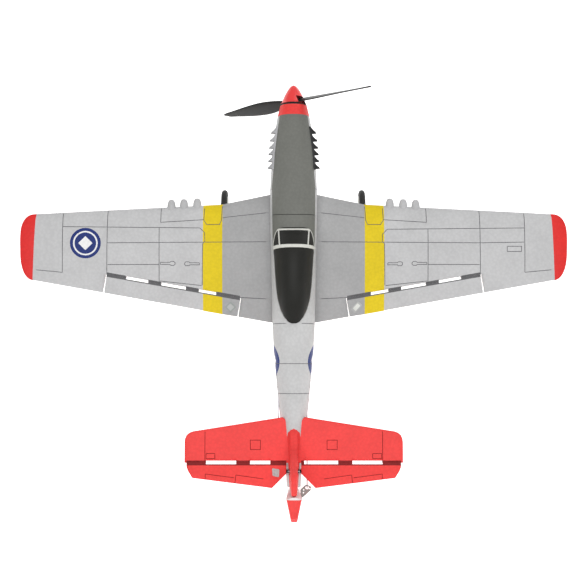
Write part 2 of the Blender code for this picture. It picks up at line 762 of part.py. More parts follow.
def plate_from_side(name, outline, half_low, half_high, z_low, z_high, mat, origin):
    """An upright foam plate: (y, z) outline, thinning from z_low to z_high, edges bevelled."""
    def half(z):
        t = min(1.0, max(0.0, (z - z_low) / (z_high - z_low)))
        return half_low + (half_high - half_low) * t
    rings = [[(sign * half(z), y, z) for y, z in outline] for sign in (-1, 1)]
    plate = loft(name, rings, mat, origin)
    bevel = plate.modifiers.new("edges", 'BEVEL')
    bevel.width = 0.9 * MM
    bevel.segments = 1
    bevel.limit_method = 'ANGLE'
    return plate


def fin():
    rear = RUD_HINGE_Y - HINGE_GAP / 2
    outline = [(102.0, 15.2), (104.8, 18.0), (114.5, 23.5), (127.6, 50.5), (130.2, 55.6), (133.6, 57.6),
               (rear, 57.8), (rear, 14.2), (126.0, 14.6)]
    return plate_from_side("fin", outline, 2.9, 1.9, 15.0, 57.8, foam_red(), (0, 100, 15))


def rudder():
    """A tapering foam blade behind the hinge, from a thick nose to a blunt trailing edge."""
    front = RUD_HINGE_Y + HINGE_GAP / 2
    levels = [(-5.8, 156.0, 4.4), (-2.0, 158.4, 4.4), (14.0, 160.2, 4.4), (40.0, 161.2, 5.1),
              (55.0, 161.2, 5.3), (59.0, 158.4, 4.4)]
    rings = []
    for z, trail, half in levels:
        back = front + 1.6
        nose, rear = 2.2, 2.1
        rings.append([(nose, front, z), (half, back, z), (rear, trail, z), (-rear, trail, z),
                      (-half, back, z), (-nose, front, z)])
    return loft("rudder", rings, foam_red(), (0, RUD_HINGE_Y, 0))


# ---------------------------------------------------------------- power train

def gear_ring(teeth, module, y, centre, phase):
    """A toothed outline in the XZ plane; trapezoid teeth with plenty of backlash."""
    pitch = teeth * module / 2
    tip, root = pitch + 0.85 * module, pitch - 1.2 * module
    step = 2 * math.pi / teeth
    ring = []
    for k in range(teeth):
        base = phase + k * step
        for share, radius in ((-0.30, root), (-0.13, tip), (0.13, tip), (0.30, root)):
            angle = base + share * step
            ring.append((centre[0] + radius * math.cos(angle), y, centre[1] + radius * math.sin(angle)))
    return ring


def gear(name, teeth, centre, phase, mat, bore):
    y0, y1 = GEAR_Y - GEAR_WIDTH / 2, GEAR_Y + GEAR_WIDTH / 2
    origin = (centre[0], GEAR_Y, centre[1])
    rings = [gear_ring(teeth, GEAR_MODULE, y, centre, phase) for y in (y0, y1)]
    wheel = loft(name, rings, mat, origin)
    shape = lathe_y([(bore, -9.0), (bore, 9.0)], origin, 12)
    boolean(wheel, cutter(name + "_bore", shape))
    return wheel


def motor_axis():
    return (0.0, -(SPUR_TEETH + PINION_TEETH) * GEAR_MODULE / 2)


def spur_gear():
    wheel = gear("spur_gear", SPUR_TEETH, (0.0, 0.0), math.radians(-90.0), white_plastic(), SHAFT_R + 0.1)
    for k in range(5):
        angle = 2 * math.pi * (k + 0.5) / 5
        centre = (5.2 * math.cos(angle), GEAR_Y, 5.2 * math.sin(angle))
        boolean(wheel, cutter("spur_hole_%d" % k, lathe_y([(1.7, -9.0), (1.7, 9.0)], centre, 10)))
    return wheel


def pinion_gear():
    """Brass pinion with its motor shaft bore; a gap between two teeth faces the spur gear."""
    phase = math.radians(90.0) + math.pi / PINION_TEETH
    return gear("pinion_gear", PINION_TEETH, motor_axis(), phase, brass(), 0.5)


def motor():
    """The coreless can with a short output shaft that ends inside the pinion."""
    x, z = motor_axis()
    front = GEAR_Y + GEAR_WIDTH / 2 + 2.4
    profile = [(0.4, -4.2), (0.4, -0.8), (1.8, -0.8), (1.8, 0.0), (MOTOR_R - 0.5, 0.0), (MOTOR_R, 0.5),
               (MOTOR_R, MOTOR_LEN), (MOTOR_R - 0.8, MOTOR_LEN), (MOTOR_R - 0.8, MOTOR_LEN + 0.6)]
    return loft("motor", lathe_y(profile, (x, front, z), 20), motor_metal(), (x, front, z))


def motor_mount():
    """Moulded gearbox: an upright plate, the shaft's bearing tube and the sleeve of the motor."""
    x, z = motor_axis()
    y0 = GEAR_Y + GEAR_WIDTH / 2 + 0.6
    y1 = y0 + 1.5
    right = [(5.6, 6.5), (8.4, 3.0), (8.4, -9.0), (6.2, -14.4)]
    outline = right + [(-u, v) for u, v in reversed(right)]
    flat = [(u, 0.0, v) for u, v in outline]
    plate = loft("motor_mount", prism_rings(flat, (0, 1, 0), y0, y1), black_plastic())
    shaft_line, motor_line = (0, y0, 0), (x, y0, z)
    added = {
        "tube": lathe_y([(2.4, 0.5), (2.4, 15.0)], shaft_line, 16),
        "sleeve": lathe_y([(MOTOR_R + 0.8, 0.5), (MOTOR_R + 0.8, 11.0)], motor_line, 20),
        "web": box_rings((-0.9, y0 + 0.5, z + MOTOR_R + 0.3), (0.9, y0 + 11.0, -1.4)),
    }
    bored = {
        "shaft_bore": lathe_y([(SHAFT_R + 0.1, -5.0), (SHAFT_R + 0.1, 30.0)], shaft_line, 12),
        "motor_bore": lathe_y([(MOTOR_R + 0.2, 1.4), (MOTOR_R + 0.2, 30.0)], motor_line, 20),
        "pinion_bore": lathe_y([(2.6, -5.0), (2.6, 5.0)], motor_line, 14),
    }
    for name, rings in added.items():
        boolean(plate, cutter("mount_" + name, rings), 'UNION')
    for name, rings in bored.items():
        boolean(plate, cutter("mount_" + name, rings))
    return plate


def prop_shaft():
    profile = [(SHAFT_R, PROP_Y - 2.6), (SHAFT_R, -103.0)]
    return loft("prop_shaft", lathe_y(profile, (0, 0, 0), 10), steel(), (0, GEAR_Y, 0))


def blade_rings(turn):
    """Twisted blade sections from the hub to the tip; turn is 0 or pi."""
    reach = [(2.0, 5.0), (8.0, 6.6), (10.5, 7.9), (15.0, 11.1), (23.0, 14.6), (30.0, 15.9), (37.0, 15.5),
             (45.0, 13.7), (53.0, 11.1), (60.0, 8.2), (66.0, 6.2), (PROP_RADIUS - 0.8, 3.2)]
    section = [(0.5, 0.0), (0.28, 0.42), (-0.1, 0.5), (-0.5, 0.08), (-0.5, -0.08), (-0.1, -0.3),
               (0.3, -0.25)]
    radial_angle = -math.radians(PROP_ANGLE) + turn
    radial = Vector((math.cos(radial_angle), 0, math.sin(radial_angle)))
    across = Vector((-math.sin(radial_angle), 0, math.cos(radial_angle)))
    forward = Vector((0, -1, 0))
    rings = []
    for r, chord in reach:
        pitch = math.radians(ROOT_PITCH + (TIP_PITCH - ROOT_PITCH) * r / PROP_RADIUS)
        along = across * math.cos(pitch) + forward * math.sin(pitch)
        normal = forward * math.cos(pitch) - across * math.sin(pitch)
        thick = max(0.7, 2.6 - r * 0.035)
        swept = 0.04 + 0.16 * r / PROP_RADIUS
        centre = Vector((0, PROP_Y, 0)) + radial * r - along * chord * swept
        rings.append([centre + along * chord * s + normal * thick * t for s, t in section])
    return rings


def propeller():
    hub = [(3.2, -3.0), (3.6, -2.4), (3.6, 2.2), (3.2, 2.8)]
    obj = loft("propeller", lathe_y(hub, (0, PROP_Y, 0), 18), dark_plastic(), (0, PROP_Y, 0))
    for index, turn in enumerate((0.0, math.pi)):
        boolean(obj, cutter("blade_%d" % index, blade_rings(turn)), 'UNION')
    bore = lathe_y([(SHAFT_R + 0.1, -9.0), (SHAFT_R + 0.1, 9.0)], (0, PROP_Y, 0), 12)
    boolean(obj, cutter("hub_bore", bore))
    return obj


def spinner():
    """A thin ogive shell, open behind, with a slot for each blade."""
    length, base = SPINNER_BASE_Y - SPINNER_TIP_Y, SPINNER_R
    outer, inner = [], []
    for k in range(9):
        s = k / 8
        radius = base * (s ** 0.62) if k else 0.25
        outer.append((radius, SPINNER_TIP_Y + length * s))
    for k in range(2, 9):
        s = k / 8
        inner.append((base * (s ** 0.62) - 1.0, SPINNER_TIP_Y + length * s + (0.4 if k < 8 else 0.0)))
    inner[0] = (0.3, inner[0][1] - 1.0)
    profile = outer + list(reversed(inner))
    obj = loft("spinner", lathe_y(profile, (0, 0, 0), 28), red_plastic(), (0, PROP_Y, 0))
    radial = Vector((math.cos(-math.radians(PROP_ANGLE)), 0, math.sin(-math.radians(PROP_ANGLE))))
    across = Vector((-radial.z, 0, radial.x))
    slot = [(-3.6, -4.4), (-3.6, 3.4), (6.0, 3.4), (6.0, -4.4)]
    for index, sign in enumerate((1, -1)):
        root = [radial * sign * 3.9 + across * sign * u + Vector((0, PROP_Y + v, 0)) for v, u in slot]
        tip = [point + radial * sign * 12.0 for point in root]
        boolean(obj, cutter("blade_slot_%d" % index, [root, tip]))
    return obj


# ---------------------------------------------------------------- smaller fittings

def canopy():
    """A thin bubble moulding whose lower edge follows the fuselage crown."""
    shape = [(-42.2, 7.6, 0.9), (-41.2, 10.2, 2.0), (-38.4, 12.3, 5.0), (-34.0, 13.9, 9.4),
             (-28.6, 14.9, 13.6), (-22.0, 14.6, 15.2), (-12.0, 13.9, 15.4), (0.0, 12.6, 13.4),
             (9.0, 11.2, 10.6), (17.0, 9.0, 6.9), (22.6, 6.2, 3.6), (26.4, 2.6, 1.1)]
    rings = []
    for y, half, rise in shape:
        width, top, bottom = station_at(y)
        middle = bottom + (top - bottom) * 0.45
        wall = 0.8 if rise > 1.2 else 0.4
        share = min(0.98, (half - wall) / width)
        sill = middle + (top - middle) * (1 - share ** SQUARENESS) ** (1 / SQUARENESS)
        crown = top + GAP + rise
        base = sill + GAP + 0.4
        outer, inner = [], []
        for k in range(ARC_STEPS + 2):
            angle = math.pi * k / (ARC_STEPS + 1)
            c, s = math.cos(angle), math.sin(angle)
            flat = math.copysign(abs(c) ** (2 / CANOPY_POWER), c)
            lift = abs(s) ** (2 / CANOPY_POWER)
            outer.append((half * flat, y, base + (crown - base) * lift))
            inner.append(((half - wall) * flat, y, base + (crown - wall - base) * lift))
        rings.append(outer + list(reversed(inner)))
    return loft("canopy", rings, canopy_plastic(), (0, 0, 18))


def exhaust(side):
    """Six stub stacks on one strip that lies along the nose."""
    tips = [(16.0, -113.5), (17.0, -107.7), (17.7, -102.4), (18.2, -97.6), (18.5, -92.5), (18.8, -87.5)]
    rings = []
    for z, reach in ((4.0, 0.72), (6.0, 1.0), (7.8, 0.62)):
        outer, inner = [], []
        previous = tips[0][1] - 5.6
        stops = []
        for x, y in tips:
            stops.append((previous + 0.1, 0.0, x))
            stops.append((y, 1.0, x))
            stops.append((y + 1.2, 0.25, x))
            previous = y + 1.2
        stops.append((previous + 0.6, 0.0, tips[-1][0]))
        for y, share, tip_x in stops:
            skin = skin_x(y, z) + GAP
            outer.append((skin + 0.7 + max(0.0, (tip_x - skin - 0.7)) * share * reach, y, z))
            inner.append((skin, y, z))
        rings.append(outer + list(reversed(inner)))
    return loft("exhaust_" + side_word(side), mirror_x(rings, side), grey_plastic(), (side * 16, -100, 6))


def skin_x(y, z):
    """Distance of the fuselage skin from the centre plane at a height."""
    half_width, top, bottom = station_at(y)
    middle = bottom + (top - bottom) * 0.45
    height = (top - middle) if z >= middle else (middle - bottom)
    share = min(0.999, abs(z - middle) / height)
    return half_width * (1 - share ** SQUARENESS) ** (1 / SQUARENESS) + GAP / 2


def belly_scoop():
    """The radiator fairing glued under the wing, with a blind intake in front."""
    shape = [(-18.0, 7.2, -25.6), (-12.0, 8.6, -29.4), (0.0, 9.4, -31.0), (16.0, 9.6, -31.0),
             (23.2, 9.3, -30.4), (30.0, 8.9, -29.4), (42.0, 7.6, -26.6), (56.0, 5.0, -22.2)]
    rings = []
    for y, half, low in shape:
        ceiling = scoop_ceiling(y, half)
        cheek = low + (ceiling - low) * 0.45
        ring = [(half, y, ceiling), (half, y, cheek), (half * 0.72, y, low + 0.7), (0, y, low),
                (-half * 0.72, y, low + 0.7), (-half, y, cheek), (-half, y, ceiling), (0, y, ceiling)]
        rings.append(ring)
    obj = loft("belly_scoop", rings, foam_silver(), (0, 20, -25))
    inlet = box_rings((-5.4, -30, -27.6), (5.4, -11.0, -24.6))
    boolean(obj, cutter("scoop_inlet", inlet))
    return obj


def scoop_ceiling(y, half):
    """Height just below the wing roots, or below the keel behind them."""
    levels = []
    for x in (0.0, half):
        lead, trail = wing_edges(x)
        if y < trail:
            levels.append(wing_section(x, [(y - lead) / (trail - lead)])[1][0][1] - GAP)
        bottom = station_at(y)[2]
        if y > trail - 6.0:
            levels.append(bottom - GAP)
    return min(levels)


def hatch():
    """The belly door ahead of the wing, a slice of the skin."""
    rings = []
    for y in (HATCH_FRONT + GAP, (HATCH_FRONT + HATCH_REAR) / 2, HATCH_REAR - GAP):
        half_width, top, bottom = station_at(y)
        outer, inner = [], []
        for k in range(9):
            x = HATCH_HALF * (1 - k / 4) - GAP * (1 - k / 4)
            share = abs(x) / half_width
            middle = bottom + (top - bottom) * 0.45
            z = middle - (middle - bottom) * (1 - share ** SQUARENESS) ** (1 / SQUARENESS)
            outer.append((x, y, z))
            inner.append((x, y, z + SKIN))
        rings.append(outer + list(reversed(inner)))
    half_width, top, bottom = station_at(HATCH_FRONT)
    return loft("battery_hatch", rings, foam_silver(), (0, HATCH_FRONT, bottom + SKIN / 2))


def hatch_cut():
    return cutter("hatch_cut", box_rings((-HATCH_HALF, HATCH_FRONT, -40), (HATCH_HALF, HATCH_REAR, -9)))


def battery():
    low, high = (-8.0, -88.0, -8.4), (8.0, -48.0, -1.8)
    pack = loft("battery", box_rings(low, high), cell_wrap(), (0, -68, -5))
    bevel = pack.modifiers.new("edges", 'BEVEL')
    bevel.width = 1.6 * MM
    bevel.segments = 2
    bevel.limit_method = 'ANGLE'
    return pack


def receiver():
    board = loft("receiver_board", box_rings((-9.0, -40.0, -8.4), (9.0, -12.0, -7.2)), circuit_green(),
                 (0, -26, -7.8))
    blocks = [((-5.6, -34.0, -7.5), (3.0, -26.0, -6.0)), ((-7.6, -18.6, -7.5), (7.6, -13.6, -3.8)),
              ((4.4, -37.0, -7.5), (7.4, -31.0, -5.6))]
    for index, (low, high) in enumerate(blocks):
        boolean(board, cutter("receiver_block_%d" % index, box_rings(low, high)), 'UNION')
    return board


def lower_skin(x, y):
    lead, trail = wing_edges(x)
    return wing_section(x, [(y - lead) / (trail - lead)])[1][0][1]


def gear_pocket(side):
    """The recess in the wing's lower face for the leg's mount plate."""
    rings = []
    for lift in (1.7, -8.0):
        ring = [(side * x, y, lower_skin(x, y) + lift) for x, y in plate_plan(0.35)]
        rings.append(ring)
    return cutter("gear_pocket_" + side_word(side), rings)


def plate_plan(grow):
    x0, x1 = MOUNT_X - 5.0 - grow, MOUNT_X + 5.0 + grow
    y0, y1 = MOUNT_Y - 7.0 - grow, MOUNT_Y + 7.0 + grow
    return [(x0, y0), (x1, y0), (x1, y1), (x0, y1)]


def gear_mount(side):
    """A moulded plate let into the wing, with a boss and a bore for the leg wire."""
    word = side_word(side)
    rings = [[(side * x, y, lower_skin(x, y) + lift) for x, y in plate_plan(0.0)] for lift in (1.35, -0.2)]
    cx, cy, cz = side * MOUNT_X, MOUNT_Y, lower_skin(MOUNT_X, MOUNT_Y)
    plate = loft("gear_mount_" + word, rings, black_plastic(), (cx, cy, cz))
    boss = [[(cx + u, cy + v, cz + h) for u, v in circle(2.6, 14)] for h in (0.0, -4.5)]
    bore = [[(cx + u, cy + v, cz + h) for u, v in circle(WIRE_R + 0.12, 12)] for h in (0.4, -9.0)]
    boolean(plate, cutter("mount_boss_" + word, boss), 'UNION')
    boolean(plate, cutter("mount_bore_" + word, bore))
    return plate


def leg_path(side):
    top = lower_skin(MOUNT_X, MOUNT_Y) + 0.1
    inner, outer = AXLE_X - WHEEL_W / 2 - 3.2, AXLE_X + WHEEL_W / 2 + 2.2
    corners = [(side * MOUNT_X, MOUNT_Y, top), (side * MOUNT_X, MOUNT_Y, top - 9.0),
               (side * inner, AXLE_Y, AXLE_Z), (side * outer, AXLE_Y, AXLE_Z)]
    return rounded_path(corners, 2.2, 3)


def gear_leg(side):
    origin = (side * MOUNT_X, MOUNT_Y, AXLE_Z)
    return wire("gear_leg_" + side_word(side), leg_path(side), WIRE_R, steel(), origin, 8)


def wheel(name, centre, radius, width, sides, mat, bore):
    """A tyre-shaped wheel; one facet of its tread looks straight down in the ground stance."""
    half = width / 2
    phase = math.radians(-90.0 + PITCH) + math.pi / sides
    rim = radius * 0.62
    near = [(bore, -half - 0.7), (rim * 0.5, -half - 0.7), (rim * 0.55, -half + 0.6),
            (rim * 0.95, -half + 0.6), (rim, -half + 0.1), (radius * 0.86, -half), (radius, -half * 0.45)]
    profile = near + [(r, -u) for r, u in reversed(near)]
    rings = lathe_x(profile, centre, sides, phase)
    return loft(name, rings, mat, centre, close=True)


def ground_height():
    """Height of the ground along the tilted vertical, from the main wheels' lowest facets."""
    a = math.radians(PITCH)
    facet = WHEEL_R * math.cos(math.pi / WHEEL_SIDES)
    return -AXLE_Y * math.sin(a) + AXLE_Z * math.cos(a) - facet


def tail_axle_z():
    """Axle height that puts the tail wheel's lowest facet on the same ground."""
    a = math.radians(PITCH)
    facet = TAIL_WHEEL_R * math.cos(math.pi / TAIL_SIDES)
    return (ground_height() + facet + TAIL_AXLE_Y * math.sin(a)) / math.cos(a)


def tail_leg():
    """A wire from a bore in the fuselage tail down to a small fork-less axle."""
    z = tail_axle_z()
    inner = TAIL_WHEEL_W / 2 + 2.4
    corners = [(0.0, TAIL_AXLE_Y - 12.0, TAIL_TOP_Z), (0.0, TAIL_AXLE_Y - 12.0, TAIL_TOP_Z - 7.0),
               (inner, TAIL_AXLE_Y, z), (-TAIL_WHEEL_W / 2 - 1.6, TAIL_AXLE_Y, z)]
    return wire("tail_leg", rounded_path(corners, 1.2, 2), TAIL_WIRE_R, steel(), (0, TAIL_AXLE_Y, z), 6)


# ---------------------------------------------------------------- assembly

def build():
    global AIRFRAME
    AIRFRAME = bpy.data.objects.new("airframe", None)
    bpy.context.scene.collection.objects.link(AIRFRAME)
    for side in (1, -1):
        half = fuselage_half("fuselage_" + side_word(side), side)
        boolean(half, wing_saddle(side))
        boolean(half, stab_slot())
        boolean(half, joiner_slot())
        boolean(half, hatch_cut())
        boolean(half, rod_channel(side))
        wing_half(side)
        aileron(side)
        spar(side)
        aileron_linkage(side)
        elevator(side)
        exhaust(side)
        gear_mount(side)
        gear_leg(side)
        wheel("wheel_" + side_word(side), (side * AXLE_X, AXLE_Y, AXLE_Z), WHEEL_R, WHEEL_W, WHEEL_SIDES,
              tyre_black(), WIRE_R + 0.1)
    stabilizer()
    elevator_joiner()
    fin()
    rudder()
    elevator_linkage()
    rudder_linkage()
    spur_gear()
    pinion_gear()
    motor()
    motor_mount()
    prop_shaft()
    propeller()
    spinner()
    canopy()
    belly_scoop()
    hatch()
    battery()
    receiver()
    tail_leg()
    wheel("tail_wheel", (0, TAIL_AXLE_Y, tail_axle_z()), TAIL_WHEEL_R, TAIL_WHEEL_W, TAIL_SIDES,
          tyre_black(), TAIL_WIRE_R + 0.1)
    settle()


def rod_channel(side):
    """Where the elevator or rudder rod leaves the fuselage side."""
    if side > 0:
        x, z = ELEV_ROD_X, STAB_Z - LEVER
    else:
        x, z = -RUD_LEVER, RUD_HORN_Z + ROD_OFFSET
    low, high = ordered((x - side * 1.4, 38.0, z - 1.3), (x + side * 1.4, 112.0, z + 1.3))
    return cutter("rod_channel_" + side_word(side), box_rings(low, high))


def settle():
    """Pitch the airframe to its ground stance and put its box over the world origin."""
    AIRFRAME.rotation_euler = Euler((-math.radians(PITCH), 0, 0))
    turn = AIRFRAME.rotation_euler.to_matrix()
    solids = [obj for obj in bpy.data.objects if obj.type == 'MESH' and not obj.hide_render]
    points = [turn @ (obj.location + vert.co) for obj in solids for vert in obj.data.vertices]
    middle = (min(p.y for p in points) + max(p.y for p in points)) / 2
    AIRFRAME.location = (0.0, -middle, -ground_height() * MM)


clear_scene()
build()
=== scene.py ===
import json
import math

import bmesh
import bpy
from mathutils import Matrix, Vector
from mathutils.geometry import delaunay_2d_cdt


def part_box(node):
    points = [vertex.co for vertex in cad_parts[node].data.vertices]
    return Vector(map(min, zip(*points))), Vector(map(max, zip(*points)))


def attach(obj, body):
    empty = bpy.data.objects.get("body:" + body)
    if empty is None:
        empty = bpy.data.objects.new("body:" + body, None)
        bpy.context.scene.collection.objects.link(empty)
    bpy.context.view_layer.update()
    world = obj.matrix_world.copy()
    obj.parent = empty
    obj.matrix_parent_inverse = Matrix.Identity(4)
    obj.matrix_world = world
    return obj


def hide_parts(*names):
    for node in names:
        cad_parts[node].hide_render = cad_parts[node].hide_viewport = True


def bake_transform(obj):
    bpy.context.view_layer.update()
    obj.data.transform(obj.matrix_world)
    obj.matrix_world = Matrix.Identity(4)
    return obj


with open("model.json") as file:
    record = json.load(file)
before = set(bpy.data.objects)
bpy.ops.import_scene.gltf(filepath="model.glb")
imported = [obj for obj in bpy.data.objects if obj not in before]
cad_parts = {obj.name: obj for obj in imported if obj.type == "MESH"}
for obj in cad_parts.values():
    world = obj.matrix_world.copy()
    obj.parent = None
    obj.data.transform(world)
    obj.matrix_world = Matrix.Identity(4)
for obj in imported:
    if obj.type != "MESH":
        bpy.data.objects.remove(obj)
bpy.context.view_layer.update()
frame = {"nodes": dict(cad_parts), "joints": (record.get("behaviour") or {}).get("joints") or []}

# The pieces are modelled in the airframe's own axes, in millimetres: +X to the port wing tip, -Y to the
# nose, +Z up from the propeller axis. PLACE carries those axes into the row frame.
MM = 0.001
PROP_Y = -138.0
JOINTS = {joint["name"]: joint for joint in frame["joints"]}
SPIN = JOINTS["prop_spin"]
PITCH = math.atan2(-SPIN["axis"][2], SPIN["axis"][1])
TURN = Matrix.Rotation(-PITCH, 4, 'X')
PLACE = Matrix.Translation(Vector(SPIN["pos_m"]) - TURN @ Vector((0, PROP_Y * MM, 0))) @ TURN

SIDES = ((1, "left"), (-1, "right"))

# Airframe dimensions, as the solids have them
DIHEDRAL = math.radians(5.0)
ROOT_LE, ROOT_TE, ROOT_X = -71.2, 24.5, 17.4
KINK_X, KINK_LE = 52.8, -63.3
TIP_X, TIP_LE, TIP_TE = 188.5, -54.5, -5.5
ROOT_Z, ROOT_THICK, TIP_THICK, TIP_ROUND = -17.5, 12.0, 4.6, 11.5
HALF_SPAN = 200.0
AIL_IN, AIL_OUT, AIL_HINGE_IN, AIL_HINGE_OUT = 39.6, 137.2, 7.0, -9.8
HINGE_GAP = 1.0
SLIT_LEAN = 0.155
STAB_Z, STAB_THICK = 10.5, 3.4
ELEV_HINGE_Y, ELEV_IN, ELEV_OUT = 126.0, 5.3, 76.4
RUD_HINGE_Y = 144.0
STATIONS = [
    (-134.6, 9.9, 10.2, -10.4), (-126.0, 12.0, 12.4, -16.4), (-115.0, 14.0, 14.0, -19.6),
    (-98.0, 16.0, 15.4, -21.6), (-74.0, 17.3, 16.6, -22.6), (-52.0, 17.4, 17.4, -23.0),
    (-20.0, 16.6, 18.0, -23.6), (10.0, 15.9, 18.0, -23.6), (30.0, 15.4, 17.4, -22.8),
    (46.0, 14.5, 16.8, -20.6), (60.0, 13.2, 16.4, -18.2), (77.0, 11.6, 15.8, -15.2),
    (93.0, 9.8, 15.2, -12.4), (106.0, 8.5, 14.8, -10.2), (122.0, 6.6, 14.4, -8.0),
    (134.0, 5.6, 14.0, -6.6), (143.0, 5.0, 13.8, -5.8),
]
SQUARENESS, TAIL_SQUARENESS = 2.5, 1.8
WAIST = 0.45                            # height of the widest line, as a share of the section
SKIN = 2.6
HATCH_FRONT, HATCH_REAR, HATCH_HALF = -97.0, -76.0, 9.0
JOINER_Y = 131.6
THROUGH = (-40.0, 20.0)                 # a cutter's reach in z, past the whole airframe

# Paint, as linear colours
SILVER = (0.555, 0.555, 0.56)
# painted shade: the inboard wing silver is darkened for the fuselage's shadow on the wing root
SILVER_ROOT_SHADE = (0.40, 0.40, 0.402)
SILVER_FUSELAGE = (0.58, 0.58, 0.58)
OLIVE = (0.176, 0.179, 0.162)
RED = (0.88, 0.060, 0.056)
TIP_RED = (0.76, 0.032, 0.030)
# dark red for the printed tail lines and also for painted shade in the tail's hinge grooves
DARK_RED_LINES_AND_SHADE = (0.24, 0.015, 0.015)
YELLOW = (0.77, 0.585, 0.014)
BLUE = (0.006, 0.025, 0.17)
WHITE = (0.86, 0.86, 0.86)
LINE_GREY = (0.17, 0.17, 0.18)
# painted shade: dark grey for the hinge grooves and the intake's recess
HINGE_SHADE_GREY = (0.13, 0.13, 0.135)
GUN_GREY = (0.51, 0.51, 0.515)
BEADS_PER_METRE = 500.0


# ---------------------------------------------------------------- materials

def shader_of(name, roughness=0.5, metallic=0.0, **sockets):
    """A new material, its node tree and its Principled shader with constant sockets set."""
    mat = bpy.data.materials.new(name)
    mat.use_nodes = True
    tree = mat.node_tree
    shader = tree.nodes["Principled BSDF"]
    shader.inputs["Roughness"].default_value = roughness
    shader.inputs["Metallic"].default_value = metallic
    for socket, value in sockets.items():
        shader.inputs[socket.replace("_", " ")].default_value = value
    return mat, tree, shader


def add_node(tree, kind, inputs=None, **settings):
    node = tree.nodes.new(kind)
    for key, value in settings.items():
        setattr(node, key, value)
    for key, value in (inputs or {}).items():
        if hasattr(value, "links"):
            tree.links.new(value, node.inputs[key])
        else:
            node.inputs[key].default_value = value
    return node


def ramp(tree, source, stops):
    """A colour ramp over (position, colour) stops."""
    node = add_node(tree, "ShaderNodeValToRGB", {"Fac": source})
    elements = node.color_ramp.elements
    while len(elements) < len(stops):
        elements.new(0.5)
    for element, (position, colour) in zip(elements, stops):
        element.position = position
        element.color = (*colour, 1.0)
    return node.outputs["Color"]


def shade(colour, factor):
    return tuple(min(1.0, c * factor) for c in colour)


def noise(tree, where, scale, detail):
    node = add_node(tree, "ShaderNodeTexNoise", {"Vector": where, "Scale": scale, "Detail": detail})
    return node.outputs["Fac"]


def paint(tree, shader, source, dark, light):
    """Colour that a texture varies between two (position, colour) stops."""
    tree.links.new(ramp(tree, source, [dark, light]), shader.inputs["Base Color"])


def uneven_gloss(tree, shader, source, low, high):
    rough = add_node(tree, "ShaderNodeMapRange", {"Value": source, "To Min": low, "To Max": high})
    tree.links.new(rough.outputs["Result"], shader.inputs["Roughness"])


def relief(tree, shader, height, strength, distance):
    """Bump from a height texture; distance in metres."""
    bump = add_node(tree, "ShaderNodeBump", {"Strength": strength, "Distance": distance, "Height": height})
    tree.links.new(bump.outputs["Normal"], shader.inputs["Normal"])


def foam_paint(name, colour, roughness=0.62, bump=0.25):
    """Painted moulded foam: faint bead cells, mottled colour and a satin skin."""
    mat, tree, shader = shader_of(name, roughness, Specular_IOR_Level=0.2)
    where = add_node(tree, "ShaderNodeTexCoord").outputs["Object"]
    cells = add_node(tree, "ShaderNodeTexVoronoi", {"Vector": where, "Scale": BEADS_PER_METRE})
    cells = cells.outputs["Distance"]
    cloud, fine = noise(tree, where, 55.0, 4.0), noise(tree, where, 900.0, 2.0)
    mottled = ramp(tree, cloud, [(0.3, shade(colour, 0.95)), (0.7, shade(colour, 1.04))])
    beads = ramp(tree, cells, [(0.25, (1, 1, 1)), (0.75, (0.93, 0.93, 0.93))])
    tint = add_node(tree, "ShaderNodeMix", {"Factor": 1.0, "A": mottled, "B": beads},
                    data_type='RGBA', blend_type='MULTIPLY')
    colour_out = next(s for s in tint.outputs if s.type == 'RGBA')
    tree.links.new(colour_out, shader.inputs["Base Color"])
    uneven_gloss(tree, shader, fine, roughness - 0.08, roughness + 0.1)
    height = add_node(tree, "ShaderNodeMath", {0: cells, 1: fine}, operation='SUBTRACT')
    relief(tree, shader, height.outputs["Value"], bump, 0.0002)
    return mat


def plastic(name, colour, roughness=0.38, grain=1400.0, bump=0.12, **sockets):
    """Moulded plastic with a fine grain, light scuffs and uneven gloss."""
    mat, tree, shader = shader_of(name, roughness, **sockets)
    where = add_node(tree, "ShaderNodeTexCoord").outputs["Object"]
    fine, wide = noise(tree, where, grain, 3.0), noise(tree, where, 90.0, 5.0)
    paint(tree, shader, wide, (0.3, shade(colour, 0.88)), (0.75, shade(colour, 1.08)))
    uneven_gloss(tree, shader, wide, roughness * 0.8, roughness * 1.25)
    relief(tree, shader, fine, bump, 0.0001)
    return mat


def drawn_metal(name, colour, stretch=(1, 1, 1)):
    """Metal with fine lines along its length."""
    roughness = 0.28
    mat, tree, shader = shader_of(name, roughness, 1.0)
    where = add_node(tree, "ShaderNodeTexCoord").outputs["Object"]
    scaled = add_node(tree, "ShaderNodeMapping", {"Vector": where, "Scale": stretch})
    lines = noise(tree, scaled.outputs["Vector"], 1500.0, 3.0)
    paint(tree, shader, lines, (0.3, shade(colour, 0.85)), (0.7, shade(colour, 1.1)))
    uneven_gloss(tree, shader, lines, roughness * 0.75, roughness * 1.4)
    return mat


